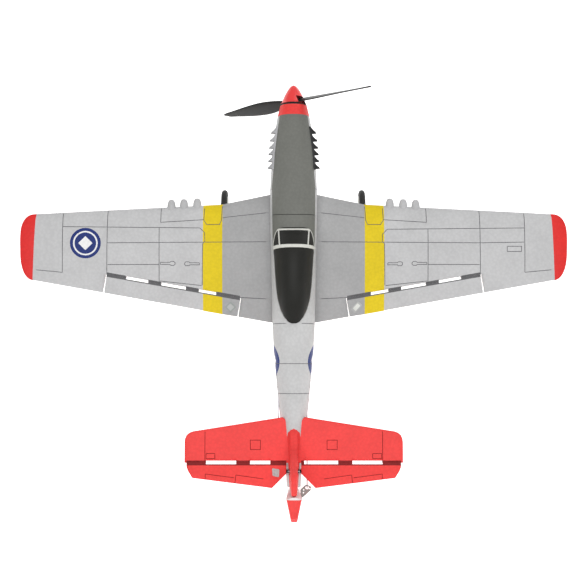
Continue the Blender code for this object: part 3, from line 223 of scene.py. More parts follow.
MATERIALS = {
    "silver": foam_paint("foam_silver_paint", SILVER),
    "silver_top": foam_paint("foam_silver_light", SILVER_FUSELAGE),
    "silver_root_shade": foam_paint("foam_silver_root_painted_shade", SILVER_ROOT_SHADE),
    "olive": foam_paint("foam_olive_paint", OLIVE),
    "red": foam_paint("foam_red_paint", RED, roughness=0.5),
    "tip_red": foam_paint("foam_tip_red", TIP_RED, roughness=0.5),
    "dark_red": foam_paint("foam_dark_red_lines_and_shade", DARK_RED_LINES_AND_SHADE),
    "yellow": foam_paint("foam_yellow_paint", YELLOW),
    "blue": foam_paint("decal_blue", BLUE, bump=0.1, roughness=0.45),
    "white": foam_paint("decal_white", WHITE, bump=0.1, roughness=0.45),
    "line": foam_paint("panel_line", LINE_GREY),
    # near black for a printed line on the olive panel and for painted shade in the gap behind the spinner
    "dark_line_and_gap_shade": foam_paint("dark_panel_line_and_gap_shade", (0.05, 0.05, 0.045)),
    "hinge": foam_paint("hinge_groove_painted_shade", HINGE_SHADE_GREY),
    "gun": foam_paint("gun_fairing", GUN_GREY),
    "raw": foam_paint("bare_foam", (0.85, 0.80, 0.79), bump=0.4),
    "glass": plastic("canopy_black", (0.021, 0.021, 0.019), roughness=0.52, bump=0.02,
                     Specular_IOR_Level=0.14),
    "frame": foam_paint("canopy_frame_paint", (0.70, 0.70, 0.65), roughness=0.45),
    "spinner": plastic("spinner_red", (0.86, 0.05, 0.05), roughness=0.3),
    "prop": plastic("propeller_plastic", (0.02, 0.02, 0.02), roughness=0.35, bump=0.15,
                    Specular_IOR_Level=0.08),
    "black": plastic("black_plastic", (0.018, 0.018, 0.019), roughness=0.5, bump=0.25,
                     Specular_IOR_Level=0.3),
    "pale": plastic("pale_plastic", (0.66, 0.67, 0.63), roughness=0.4),
    "plate": plastic("plate_plastic", (0.44, 0.45, 0.44), roughness=0.45),
    "grey": plastic("grey_plastic", (0.30, 0.33, 0.31), roughness=0.42),
    # painted highlight: a light grey copy of black plastic for the lit port exhaust stacks
    "port_stack_highlight": plastic("exhaust_painted_highlight", (0.40, 0.40, 0.41), roughness=0.45),
    "servo": plastic("servo_case", (0.035, 0.045, 0.075), roughness=0.3, bump=0.15),
    "steel": drawn_metal("spring_steel", (0.27, 0.27, 0.29)),
    "can": drawn_metal("motor_can", (0.6, 0.6, 0.62), stretch=(1, 12, 1)),
    "brass": drawn_metal("brass", (0.74, 0.5, 0.18)),
    "carbon": plastic("carbon_rod", (0.018, 0.018, 0.02), roughness=0.32),
    "board": plastic("circuit_green", (0.02, 0.13, 0.06), roughness=0.35),
    "cell": plastic("cell_wrap", (0.035, 0.11, 0.42), roughness=0.22, bump=0.3),
    "tyre": plastic("tyre_rubber", (0.016, 0.016, 0.016), roughness=0.7, grain=2200.0, bump=0.5),
}


# ---------------------------------------------------------------- building helpers

def make_object(bm, name, materials, smooth_angle=38.0, weld=1e-4):
    """Turn a bmesh of airframe millimetres into an object that sits in the row frame."""
    bmesh.ops.remove_doubles(bm, verts=bm.verts, dist=weld)
    bmesh.ops.dissolve_degenerate(bm, edges=bm.edges, dist=1e-5)
    bmesh.ops.recalc_face_normals(bm, faces=bm.faces)
    bmesh.ops.scale(bm, vec=(MM, MM, MM), verts=bm.verts)
    mesh = bpy.data.meshes.new(name)
    bm.to_mesh(mesh)
    bm.free()
    mesh.shade_smooth()
    mesh.set_sharp_from_angle(angle=math.radians(smooth_angle))
    for key in materials:
        mesh.materials.append(MATERIALS[key])
    mesh.transform(PLACE)
    obj = bpy.data.objects.new(name, mesh)
    bpy.context.scene.collection.objects.link(obj)
    return obj


def finish_piece(obj, body, replaced=()):
    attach(obj, body)
    if replaced:
        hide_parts(*replaced)


def bend_piece(obj):
    """A foam hinge on the airframe, with its transform baked into its mesh."""
    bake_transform(obj)


def apply_modifiers(obj):
    """Put what the object's modifiers make of its mesh in the mesh's place."""
    bpy.context.view_layer.update()
    done = bpy.data.meshes.new_from_object(obj.evaluated_get(bpy.context.evaluated_depsgraph_get()))
    obj.modifiers.clear()
    obj.data = done


def loft_into(bm, rings, index=0, close=False):
    loops = [[bm.verts.new(point) for point in ring] for ring in rings]
    pairs = list(zip(loops, loops[1:]))
    if close:
        pairs.append((loops[-1], loops[0]))
    count = len(rings[0])
    made = []
    for lower, upper in pairs:
        for i in range(count):
            j = (i + 1) % count
            made.append(bm.faces.new((lower[i], lower[j], upper[j], upper[i])))
    if not close:
        made.append(bm.faces.new(list(reversed(loops[0]))))
        made.append(bm.faces.new(loops[-1]))
    for face in made:
        face.material_index = index
    return bm


def box_rings(low, high):
    x0, y0, z0 = low
    x1, y1, z1 = high
    return [[(x0, y0, z), (x1, y0, z), (x1, y1, z), (x0, y1, z)] for z in (z0, z1)]


def circle(radius, sides):
    turns = [2 * math.pi * i / sides for i in range(sides)]
    return [(radius * math.cos(a), radius * math.sin(a)) for a in turns]


def lathe_y(profile, centre, sides):
    cx, cy, cz = centre
    return [[(cx + u, cy + y, cz + v) for u, v in circle(r, sides)] for r, y in profile]


def lathe_x(profile, centre, sides):
    cx, cy, cz = centre
    return [[(cx + x, cy + u, cz + v) for u, v in circle(r, sides)] for r, x in profile]


def ordered(a, b):
    return tuple(min(p, q) for p, q in zip(a, b)), tuple(max(p, q) for p, q in zip(a, b))


def carve(obj, solids, materials, index):
    """Cut all the given ring lists out of the object, joined into a single tool.

    The cut faces take the material at index of the object's own list."""
    bm = bmesh.new()
    for rings in solids:
        loft_into(bm, rings, index)
    tool = make_object(bm, obj.name + "_tool", materials)
    mod = obj.modifiers.new("carve", 'BOOLEAN')
    mod.operation = 'DIFFERENCE'
    mod.solver = 'EXACT'
    mod.object = tool
    apply_modifiers(obj)
    bpy.data.objects.remove(tool)


def inside(point, polygon):
    """True where a 2-D point lies within a polygon."""
    x, y = point
    hit = False
    for (x0, y0), (x1, y1) in zip(polygon, polygon[1:] + polygon[:1]):
        if (y0 > y) != (y1 > y) and x < x0 + (y - y0) * (x1 - x0) / (y1 - y0):
            hit = not hit
    return hit


def subdivide_line(points, step):
    """The same polyline with extra points, none further apart than step."""
    fine = []
    for a, b in zip(points, points[1:]):
        a, b = Vector(a), Vector(b)
        count = max(1, int(math.ceil((b - a).length / step)))
        fine += [a + (b - a) * (k / count) for k in range(count)]
    fine.append(Vector(points[-1]))
    return fine


def side_offsets(points, half):
    """The polyline moved sideways by half to either side, mitred at its corners."""
    left, right = [], []
    for i, point in enumerate(points):
        before = (point - points[i - 1]).normalized() if i else None
        after = (points[i + 1] - point).normalized() if i < len(points) - 1 else None
        along = (before or after) if not (before and after) else (before + after).normalized()
        normal = Vector((-along.y, along.x))
        reach = half
        if before and after:
            reach = half / max(0.4, math.sqrt((1 + before.dot(after)) / 2))
        left.append(point + normal * reach)
        right.append(point - normal * reach)
    return left, right


class Sheet:
    """A plan triangulated round its outline, paint zones and panel lines.

    Everything is given in plan coordinates (u, v); later zones paint over earlier ones."""

    def __init__(self, outline, edge_step=3.0, warp=None, unwarp=None):
        self.points, self.edges, self.faces, self.tags = [], [], [], []
        self.centres = set()
        self.strips = []
        self.warp, self.unwarp = warp, unwarp
        self.outline = [tuple(p) for p in subdivide_line(list(outline) + [outline[0]], edge_step)[:-1]]
        self.add_polygon(self.outline, 0)

    def add_polygon(self, polygon, tag):
        """Add a painted polygon, turned anticlockwise as the triangulation needs it."""
        points = [Vector(p) for p in polygon]
        if sum(a.x * b.y - b.x * a.y for a, b in zip(points, points[1:] + points[:1])) < 0:
            points.reverse()
        start = len(self.points)
        self.points += points
        self.faces.append(list(range(start, len(self.points))))
        self.tags.append(tag)

    def zone(self, polygon, tag, step=3.0):
        self.add_polygon(subdivide_line(list(polygon) + [polygon[0]], step)[:-1], tag)

    def line(self, points, tag, half=0.23):
        """A panel line: two edges that paint a strip, and a centre that will be sunk."""
        fine = subdivide_line(points, 3.0)
        left, right = side_offsets(fine, half)
        for k in range(len(fine) - 1):
            self.add_polygon([left[k], right[k], right[k + 1], left[k + 1]], tag)
        start = len(self.points)
        self.points += fine
        self.centres.update(range(start, len(self.points)))
        self.edges += [(k, k + 1) for k in range(start, len(self.points) - 1)]
        self.strips += list(zip(fine, fine[1:]))

    def near_line(self, point, reach):
        for a, b in self.strips:
            if min(a.x, b.x) - reach > point.x or max(a.x, b.x) + reach < point.x:
                continue
            if min(a.y, b.y) - reach > point.y or max(a.y, b.y) + reach < point.y:
                continue
            d = b - a
            t = min(1.0, max(0.0, (point - a).dot(d) / d.length_squared)) if d.length_squared else 0.0
            if (a + d * t - point).length < reach:
                return True
        return False

    def fill(self, candidates):
        """Interior points, left out near panel lines and outside the outline."""
        for u, v in candidates:
            if inside((u, v), self.outline) and not self.near_line(Vector((u, v)), 0.7):
                self.points.append(Vector((u, v)))

    def triangulate(self):
        """Vertices, triangles, which vertices are sunk, and each triangle's tag.

        warp straightens the plan first, so that rows of points stay rows at a curved edge."""
        points = [self.warp(p) for p in self.points] if self.warp else self.points
        verts, _, faces, from_verts, _, from_faces = delaunay_2d_cdt(
            points, self.edges, self.faces, 1, 1e-4, True)
        if self.unwarp:
            verts = [self.unwarp(v) for v in verts]
        sunk = [any(k in self.centres for k in origins) for origins in from_verts]
        painted = [(face, self.tags[max(origins)]) for face, origins in zip(faces, from_faces) if origins]
        return verts, [face for face, _ in painted], sunk, [tag for _, tag in painted]


def slab(name, sheet, top, bottom, materials, depth=0.35, mirror=1):
    """A closed plate: the sheet lifted to its upper and lower surface and walled round its outline.

    top and bottom turn (u, v) into a 3-D point and its normal; panel lines are sunk into both. A wall
    face takes the paint of the face beside it."""
    verts, faces, sunk, tags = sheet.triangulate()
    bm = bmesh.new()
    layers = []
    for lift in (top, bottom):
        layer = []
        for (u, v), low in zip(verts, sunk):
            point, normal = lift(u, v)
            point = Vector(point)
            if low:
                point -= Vector(normal) * depth
            point.x *= mirror
            layer.append(bm.verts.new(point))
        layers.append(layer)
    beside = {}
    for face, tag in zip(faces, tags):
        bm.faces.new([layers[0][k] for k in face]).material_index = tag
        bm.faces.new([layers[1][k] for k in reversed(face)]).material_index = tag
        for a, b in zip(face, face[1:] + face[:1]):
            beside.setdefault((min(a, b), max(a, b)), []).append(tag)
    for (a, b), around in beside.items():
        if len(around) == 1:
            made = bm.faces.new((layers[0][a], layers[0][b], layers[1][b], layers[1][a]))
            made.material_index = around[0]
    return make_object(bm, name, materials)


def single_skin(sheet, place, hole):
    """One layer of a sheet's faces, without those tagged hole; place gives a point for u, v, sunk."""
    verts, faces, sunk, tags = sheet.triangulate()
    bm = bmesh.new()
    made = [bm.verts.new(place(u, v, low)) for (u, v), low in zip(verts, sunk)]
    for face, tag in zip(faces, tags):
        if tag != hole:
            bm.faces.new([made[k] for k in face]).material_index = tag
    bmesh.ops.delete(bm, geom=[v for v in bm.verts if not v.link_faces], context='VERTS')
    return bm


# ---------------------------------------------------------------- airframe shapes

def wing_edges(x):
    """Leading and trailing edge at x, with the tip rounded off."""
    trail = ROOT_TE + (TIP_TE - ROOT_TE) * (max(x, ROOT_X) - ROOT_X) / (TIP_X - ROOT_X)
    if x <= ROOT_X:
        lead = ROOT_LE
    elif x <= KINK_X:
        lead = ROOT_LE + (KINK_LE - ROOT_LE) * (x - ROOT_X) / (KINK_X - ROOT_X)
    else:
        lead = KINK_LE + (TIP_LE - KINK_LE) * (x - KINK_X) / (TIP_X - KINK_X)
    if x > TIP_X:
        t = min(1.0, (x - TIP_X) / TIP_ROUND)
        shrink = 0.30 + 0.70 * math.sqrt(max(0.0, 1 - t ** 2.6))
        middle = TIP_LE + (TIP_TE - TIP_LE) * 0.40
        lead = middle + (TIP_LE - middle) * shrink
        trail = middle + (TIP_TE - middle) * shrink
    return lead, trail


def wing_thickness(x):
    thick = ROOT_THICK + (TIP_THICK - ROOT_THICK) * max(0.0, x - ROOT_X) / (HALF_SPAN - ROOT_X)
    if x > TIP_X:
        thick *= 1.0 - 0.55 * ((x - TIP_X) / TIP_ROUND) ** 2
    return thick


def wing_z(x):
    return ROOT_Z + abs(x) * math.tan(DIHEDRAL)


def wing_height(x, y, upper):
    """Height of the wing's upper or lower surface over a point of its plan."""
    lead, trail = wing_edges(x)
    s = min(1.0, max(0.0, (y - lead) / (trail - lead)))
    half = 1.49 * (math.sqrt(s) - 0.42 * s - 1.17 * s ** 2 + 0.95 * s ** 3 - 0.36 * s ** 4)
    half = max(half, 0.0) + 0.045 * min(1.0, s * 30.0) + 0.004
    thick = wing_thickness(x)
    return wing_z(x) + (thick * half * 1.12 if upper else -thick * half * 0.88)


def wing_lift(upper):
    sign = 1 if upper else -1

    def lift(x, y):
        return (x, y, wing_height(x, y, upper)), (0, 0, sign)
    return lift


def aileron_hinge_y(x):
    return AIL_HINGE_IN + (AIL_HINGE_OUT - AIL_HINGE_IN) * (x - AIL_IN) / (AIL_OUT - AIL_IN)


def waist(top, bottom):
    return bottom + (top - bottom) * WAIST


def station_at(y):
    """Half width, top and bottom of the fuselage at y."""
    y = min(max(y, STATIONS[0][0]), STATIONS[-1][0])
    for low, high in zip(STATIONS, STATIONS[1:]):
        if y <= high[0]:
            t = (y - low[0]) / (high[0] - low[0])
            return [a + (b - a) * t for a, b in zip(low[1:], high[1:])]


def section_power(y):
    t = min(1.0, max(0.0, (y - 46.0) / 76.0))
    return SQUARENESS + (TAIL_SQUARENESS - SQUARENESS) * t


def fuselage_point(y, angle, inset=0.0):
    """A point of the fuselage skin; angle 0 is the crown, positive to port, pi the keel."""
    half_width, top, bottom = station_at(y)
    power = section_power(y)
    middle = waist(top, bottom)
    s, c = math.sin(angle), math.cos(angle)
    height = (top - inset - middle) if c >= 0 else (middle - bottom - inset)
    x = (half_width - inset) * math.copysign(abs(s) ** (2 / power), s)
    z = middle + height * math.copysign(abs(c) ** (2 / power), c)
    return Vector((x, y, z))


def crown_angle(y, x):
    """The angle on the upper skin at which the fuselage is x from its centre plane."""
    half_width = station_at(y)[0]
    share = min(1.0, abs(x) / half_width)
    return math.copysign(math.asin(share ** (section_power(y) / 2)), x)


def skin_height(y, x, upper=True):
    angle = crown_angle(y, x)
    return fuselage_point(y, angle if upper else math.pi - angle).z


# ---------------------------------------------------------------- wing

TIP, BAND, LINE, DISC, MARK, RECESS_SHADE, RAW, ROOT_SHADE = 1, 2, 3, 4, 5, 6, 7, 8
WING_MATERIALS = ["silver", "tip_red", "yellow", "line", "blue", "white", "hinge", "raw", "silver_root_shade"]
BAND_IN, BAND_OUT = 52.6, 66.9
DISC_AT, DISC_R = (152.5, -33.0), 11.2
TIP_FRONT, TIP_REAR = 188.6, 190.8      # where the painted tip begins at either edge
SLOTS = [(57.2, 70.0), (79.4, 97.5), (106.9, 123.1)]
GROOVE_FRONT, GROOVE_REAR = 2.0, 0.8    # the hinge groove's painted shade, ahead of the hinge and behind the gap
DIAMOND = ((1, 0), (0, 1), (-1, 0), (0, -1))
SPAR_Y = -42.2
HORN_X, SERVO_Y = 46.5, -24.0
GUN_X = (71.6, 81.4, 90.6)


def wing_columns():
    columns = [0.15, 6.0, 12.0, ROOT_X]
    columns += [ROOT_X + (KINK_X - ROOT_X) * k / 9 for k in range(1, 10)]
    columns += [KINK_X + (TIP_X - KINK_X) * k / 34 for k in range(1, 35)]
    columns += [TIP_X + TIP_ROUND * math.sin(math.pi / 2 * k / 12) for k in range(1, 13)]
    return columns


def wing_strip(front, rear=None):
    """The closed plan between the leading edge over front and the trailing edge over rear."""
    return [(x, wing_edges(x)[0]) for x in front] + [(x, wing_edges(x)[1]) for x in reversed(rear or front)]


def round_corners(points, radius, steps=4):
    """A closed polygon with each corner replaced by a short quadratic curve."""
    result = []
    count = len(points)
    for i in range(count):
        prev, corner, nxt = (Vector(points[(i + k) % count]) for k in (-1, 0, 1))
        start = corner + (prev - corner).normalized() * radius
        end = corner + (nxt - corner).normalized() * radius
        for k in range(steps + 1):
            t = k / steps
            result.append(start * (1 - t) ** 2 + corner * 2 * t * (1 - t) + end * t ** 2)
    return [tuple(p) for p in result]


def key_hatch(x0, x1, y):
    """A small inspection door with one round end, as a closed line."""
    out = math.copysign(1.0, x1 - x0)
    neck = x1 - 3.8 * out
    half = [(x0, 0.75), (neck, 0.75), (neck + 0.8 * out, 1.45), (x1 - 0.9 * out, 1.45), (x1, 0.6)]
    return [(x, y - v) for x, v in half] + [(x, y + v) for x, v in reversed(half)] + [(x0, y - 0.45)]


def wing_panel_lines(side):
    front = -45.0 if side > 0 else -44.0
    lines = [
        [(169.0, -54.9), (169.2, -11.6)], [(188.2, -13.3), (169.2, -11.6)],
        [(136.6, -57.4), (137.0, -11.4)], [(97.7, -59.5), (97.9, -48.6)],
        [(98.9, front + 0.3), (98.9, -5.2)], [(168.8, front), (69.1, front + 0.2)],
        [(136.6, -33.3), (20.6, -34.9)], [(136.4, -17.4), (99.2, -17.7)], [(97.6, -48.8), (66.6, -51.0)],
        [(65.8, -59.7), (66.3, -50.7), (64.3, -47.4), (54.7, -47.5), (53.3, -50.9), (52.8, -61.7)],
        [(52.4, -52.7), (20.6, -56.5)], [(69.1, front + 0.2), (65.6, front + 3.8), (65.4, -35.0),
                                         (67.0, -33.2), (67.4, -2.6)],
        [(52.4, 5.6), (20.5, 7.2)], [(98.5, -5.6), (67.9, -2.4)],
        key_hatch(69.4, 80.2, -18.3), key_hatch(98.0, 87.2, -18.5),
    ]
    if side < 0:
        lines.append([(137.2, -33.3), (168.6, -33.6)])
        lines.append([(156.4, -30.6), (166.7, -30.6), (166.7, -26.8), (156.4, -26.8), (156.4, -30.3)])
    return lines


def roundel(sheet):
    """Generic marking: a blue disc with a plain white diamond and a thin white ring."""
    cx, cy = DISC_AT
    for share, tag in ((1.0, DISC), (0.80, MARK), (0.70, DISC)):
        sheet.zone([(cx + u, cy + v) for u, v in circle(DISC_R * share, 40)], tag, 9.0)
    sheet.zone([(cx + DISC_R * 0.46 * u, cy + DISC_R * 0.46 * v) for u, v in DIAMOND], MARK, 9.0)


CHORD_ROWS, ROW_POWER, ROW_SPAN = 34, 1.7, 62.0


def straighten(point):
    """Plan point (x, y) with the chord mapped to a constant height, dense at the leading edge."""
    lead, trail = wing_edges(point[0])
    share = min(1.0, max(0.0, (point[1] - lead) / (trail - lead)))
    return Vector((point[0], ROW_SPAN * share ** (1 / ROW_POWER)))


def unstraighten(point):
    lead, trail = wing_edges(point[0])
    share = min(1.0, max(0.0, point[1] / ROW_SPAN))
    return Vector((point[0], lead + (trail - lead) * share ** ROW_POWER))


def wing_sheet(side):
    columns = wing_columns()
    sheet = Sheet(wing_strip(columns), 60.0, straighten, unstraighten)
    front, rear = ([x0] + [x for x in columns if x > x0 + 0.3] for x0 in (TIP_FRONT, TIP_REAR))
    sheet.zone(wing_strip(front, rear), TIP)
    # painted shade: the wing inboard of the yellow band is darkened for the fuselage's shadow on the root
    sheet.zone(wing_strip([x for x in columns if x < BAND_IN] + [BAND_IN]), ROOT_SHADE)
    sheet.zone(wing_strip([BAND_IN, BAND_OUT]), BAND)
    # painted shade: the foam ahead of the hinge is painted dark grey for the groove's shadow
    for x0, x1 in foam_spans(AIL_IN, SLOTS, AIL_OUT):
        ahead = [(x0, aileron_hinge_y(x0) - GROOVE_FRONT), (x1, aileron_hinge_y(x1) - GROOVE_FRONT)]
        sheet.zone(ahead + [(x, y + GROOVE_FRONT) for x, y in reversed(ahead)], RECESS_SHADE)
    for line in wing_panel_lines(side):
        sheet.line(line, LINE)
    if side > 0:
        roundel(sheet)
    grid = []
    for x in columns[1:-1]:
        lead, trail = wing_edges(x)
        grid += [(x, lead + (trail - lead) * (k / CHORD_ROWS) ** ROW_POWER) for k in range(1, CHORD_ROWS)]
    sheet.fill(grid)
    return sheet


def hinge_cut(side, x0, x1, ahead, behind, lean=0.0):
    """A cutter through the wing about the hinge line; lean shifts its rear end outwards."""
    plan = [(x0, aileron_hinge_y(x0) - ahead), (x1, aileron_hinge_y(x1) - ahead),
            (x1 + lean * behind, aileron_hinge_y(x1) + behind),
            (x0 + lean * behind, aileron_hinge_y(x0) + behind)]
    return [[(side * x, y, z) for x, y in plan] for z in THROUGH]


def spar_groove(side):
    """A cutter for the groove that holds the spar, along the wing's lower surface."""
    section = ((-1.1, 1.8), (1.1, 1.8), (1.1, -3.0), (-1.1, -3.0))
    rings = []
    for x in (20.5, 131.0):
        lower = wing_height(x, SPAR_Y, False)
        rings.append([(side * x, SPAR_Y + u, lower + v) for u, v in section])
    return rings


def wing(side, word):
    """The panel with its aileron bay, hinge slots, spar groove, servo pocket and gear mount recess."""
    obj = slab("wing_%s_foam" % word, wing_sheet(side), wing_lift(True), wing_lift(False), WING_MATERIALS,
               mirror=side)
    horn_z = wing_height(HORN_X, aileron_hinge_y(HORN_X), True) - 0.8
    pocket = box_rings(*ordered((side * (HORN_X - 10.0), SERVO_Y - 15.5, horn_z - 30.0),
                                (side * (HORN_X + 2.4), SERVO_Y + 7.6, horn_z + 2.4)))
    mount_plan = ((42.65, -59.35), (53.35, -59.35), (53.35, -44.65), (42.65, -44.65))
    mount = [[(side * x, y, wing_height(x, y, False) + lift) for x, y in mount_plan]
             for lift in (1.7, -8.0)]
    bay = hinge_cut(side, AIL_IN - 0.8, AIL_OUT + 0.8, HINGE_GAP / 2, 40, SLIT_LEAN)
    for solids in ([bay], [hinge_cut(side, x0, x1, 1.6, 3.0) for x0, x1 in SLOTS],
                   [spar_groove(side), pocket, mount]):
        carve(obj, solids, WING_MATERIALS, RAW)
    finish_piece(obj, "airframe", ["wing_" + word])


def gun_fairings(side, word):
    """Three blunt fairings with open muzzles on the leading edge."""
    bm = bmesh.new()
    for x in GUN_X:
        lead = wing_edges(x)[0]
        z = wing_z(x) + 0.3
        profile = [(0.6, lead - 3.2), (0.7, lead - 5.2), (1.25, lead - 5.35), (1.85, lead - 4.9),
                   (2.4, lead - 3.8), (2.8, lead - 2.0), (3.0, lead + 0.4), (3.05, lead + 3.0),
                   (2.9, lead + 7.0), (2.3, lead + 12.0)]
        rings = [[(side * (x + u * 1.07), y, z + v) for u, v in circle(r, 24)] for r, y in profile]
        loft_into(bm, rings)
    obj = make_object(bm, "gun_fairings_" + word, ["gun"], 50.0)
    finish_piece(obj, "airframe")


def aileron(side, word):
    """The flap behind the hinge, with its yellow band and painted shade along its front for the hinge
    groove's shadow.
    """
    x0, x1 = AIL_IN, AIL_OUT
    front = HINGE_GAP / 2

    def edge(x, lean_from):
        trail = wing_edges(x)[1]
        hinge = aileron_hinge_y(lean_from) + front
        return (lean_from + SLIT_LEAN * (trail - hinge), trail)
    outline = [(x0, aileron_hinge_y(x0) + front), (x1, aileron_hinge_y(x1) + front), edge(x1 + 1.8, x1),
               edge(x0 + 1.8, x0)]
    sheet = Sheet(outline, edge_step=2.5)
    band = [(x, aileron_hinge_y(x) + front) for x in (BAND_IN, BAND_OUT)]
    band += [(x, wing_edges(x)[1] + 0.3) for x in (BAND_OUT, BAND_IN)]
    # painted shade on the aileron's inboard end, matching the darkened wing root
    sheet.zone([outline[0], band[0], band[3], outline[3]], ROOT_SHADE)
    sheet.zone(band, BAND)
    nose = outline[:2]
    # painted shadow: the aileron's bevelled nose behind the gap is painted dark grey
    sheet.zone(nose + [(x, y + GROOVE_REAR) for x, y in reversed(nose)], RECESS_SHADE)
    grid = []
    for k in range(1, 40):
        x = x0 + (x1 - x0) * k / 40
        hinge, trail = aileron_hinge_y(x) + front, wing_edges(x)[1]
        grid += [(x, hinge + (trail - hinge) * t) for t in (0.04, 0.1, 0.2, 0.35, 0.5, 0.65, 0.8, 0.92)]
    sheet.fill(grid)

    def bottom(x, y):
        hinge = aileron_hinge_y(x) + front
        low, high = wing_height(x, y, False), wing_height(x, hinge, True)
        depth = high - wing_height(x, hinge, False)
        bevel = high - 0.25 * depth - (y - hinge) * 1.25
        return (x, y, max(low, bevel) if y - hinge < depth else low), (0, 0, -1)
    obj = slab("aileron_%s_foam" % word, sheet, wing_lift(True), bottom, WING_MATERIALS, mirror=side)
    finish_piece(obj, word + "_aileron", ["aileron_" + word])


def foam_spans(start, slots, stop):
    """The spans from start to stop that the slots leave, as (x0, x1) pairs."""
    ends = [start] + [x for slot in slots for x in slot] + [stop]
    return list(zip(ends[::2], ends[1::2]))


def hinge_strips(side, word):
    """The thin foam hinges left between the slots."""
    section = [(-1.3, -0.06), (-0.5, 0.19), (0.0, 0.29), (0.5, 0.19), (1.3, -0.06), (1.3, 1.1), (0.0, 1.1),
               (-1.3, 1.1)]
    bm = bmesh.new()
    for x0, x1 in foam_spans(AIL_IN, SLOTS, AIL_OUT):
        rings = []
        count = max(2, int((x1 - x0) / 3))
        for k in range(count + 1):
            x = x0 + (x1 - x0) * k / count
            y = aileron_hinge_y(x)
            rings.append([(side * x, y + v, wing_height(x, y + v, True) - down) for v, down in section])
        loft_into(bm, rings)
    # the hinge strips are painted dark grey as the groove's shade
    obj = make_object(bm, "aileron_hinge_%s_foam" % word, ["hinge"])
    bend_piece(obj)


# ---------------------------------------------------------------- fuselage

NOSE_RED, OLIVE_TOP, SIDE_MARK, F_LINE, TAIL_RED, F_WHITE, DARK_LINE_AND_GAP_SHADE, OPEN = 1, 2, 3, 4, 5, 6, 7, 8
FUSELAGE_MATERIALS = ["silver_top", "red", "olive", "blue", "line", "red", "white", "dark_line_and_gap_shade"]
AROUND = 17.0                   # skin length per radian of section angle in the unrolled sheet
NOSE_RED_TO = -126.0
MARK_AT, MARK_R = (52.6, 1.1), 11.0


def olive_edge(y):
    """Half width of the dark panel on the crown."""
    table = [(-126.5, 10.3), (-95.0, 14.1), (-73.0, 15.8), (-28.0, 15.2)]
    for (y0, x0), (y1, x1) in zip(table, table[1:]):
        if y <= y1:
            return x0 + (x1 - x0) * (y - y0) / (y1 - y0)
    return table[-1][1]


def crown_line(points):
    """Points (y, x) of the upper skin as unrolled sheet coordinates."""
    return [(y, crown_angle(y, x) * AROUND) for y, x in points]


def side_line(points):
    """Points (y, z) of one side as sheet coordinates, port side."""
    line = []
    for y, z in points:
        _, top, bottom = station_at(y)
        middle = waist(top, bottom)
        height = (top - middle) if z > middle else (middle - bottom)
        share = max(-1.0, min(1.0, (z - middle) / height))
        power = section_power(y)
        angle = math.acos(math.copysign(abs(share) ** (power / 2), share))
        line.append((y, angle * AROUND))
    return line


def fuselage_sheet():
    y0, y1 = STATIONS[0][0], STATIONS[-1][0]
    limit = math.pi * AROUND
    sheet = Sheet([(y0, -limit), (y1, -limit), (y1, limit), (y0, limit)], edge_step=4.0)
    # the first 0.6 mm behind the nose edge is painted near black as shade in the gap behind the spinner
    for y, tag in ((NOSE_RED_TO, NOSE_RED), (y0 + 0.6, DARK_LINE_AND_GAP_SHADE)):
        sheet.zone([(y0, -limit), (y, -limit), (y, limit), (y0, limit)], tag)
    stops = [NOSE_RED_TO, -115.0, -105.0, -95.0, -84.0, -73.0, -60.0, -45.0, -36.0, -28.0]
    port = crown_line([(y, olive_edge(y)) for y in stops])
    sheet.zone(port + [(y, -a) for y, a in reversed(port)], OLIVE_TOP)
    tail = side_line([(104.0, 13.0), (112.0, 11.0), (y1, 11.0)])
    sheet.zone([(101.0, 0.0)] + tail + [(y, -a) for y, a in reversed(tail)], TAIL_RED)
    diamond = [(MARK_R * 0.5 * u, MARK_R * 0.5 * v) for u, v in DIAMOND]
    for ring, tag in ((circle(MARK_R, 36), SIDE_MARK), (diamond, F_WHITE)):
        mark = side_line([(MARK_AT[0] + u, MARK_AT[1] + v) for u, v in ring])
        sheet.zone(mark, tag, 2.0)
        sheet.zone([(y, -a) for y, a in mark], tag, 2.0)
    sheet.line(crown_line([(-52.4, -15.4), (-51.9, -8.0), (-51.7, 0.0), (-51.9, 8.0), (-52.4, 15.4)]),
               DARK_LINE_AND_GAP_SHADE)
    lines = []
    for y in (26.4, 55.1, 76.4):
        reach = side_line([(y, -2.0)])[0][1]
        gap = 5.0 if y < 30 else 0.0
        for sign in (1, -1):
            lines.append([(y, sign * gap), (y, sign * reach)])
    for sign in (1, -1):
        for run in ([(-124.0, -2.0), (-100.0, -4.0), (-72.0, -6.0)], [(-98.0, 3.0), (-98.0, -16.0)],
                    [(-72.0, 7.0), (-72.0, -8.0)], [(32.0, -4.0), (56.0, -3.0), (92.0, -1.0)],
                    [(62.0, 6.0), (62.0, -1.0), (72.0, -1.0), (72.0, 6.0), (62.0, 6.0)]):
            lines.append([(y, sign * a) for y, a in side_line(run)])
    for line in lines:
        sheet.line(line, F_LINE, half=0.2)
    cut_openings(sheet, limit)
    grid = []
    rows, steps = 72, 56
    for i in range(1, rows):
        y = y0 + (y1 - y0) * i / rows
        for k in range(1, steps):
            grid.append((y, -limit + 2 * limit * k / steps))
    sheet.fill(grid)
    return sheet


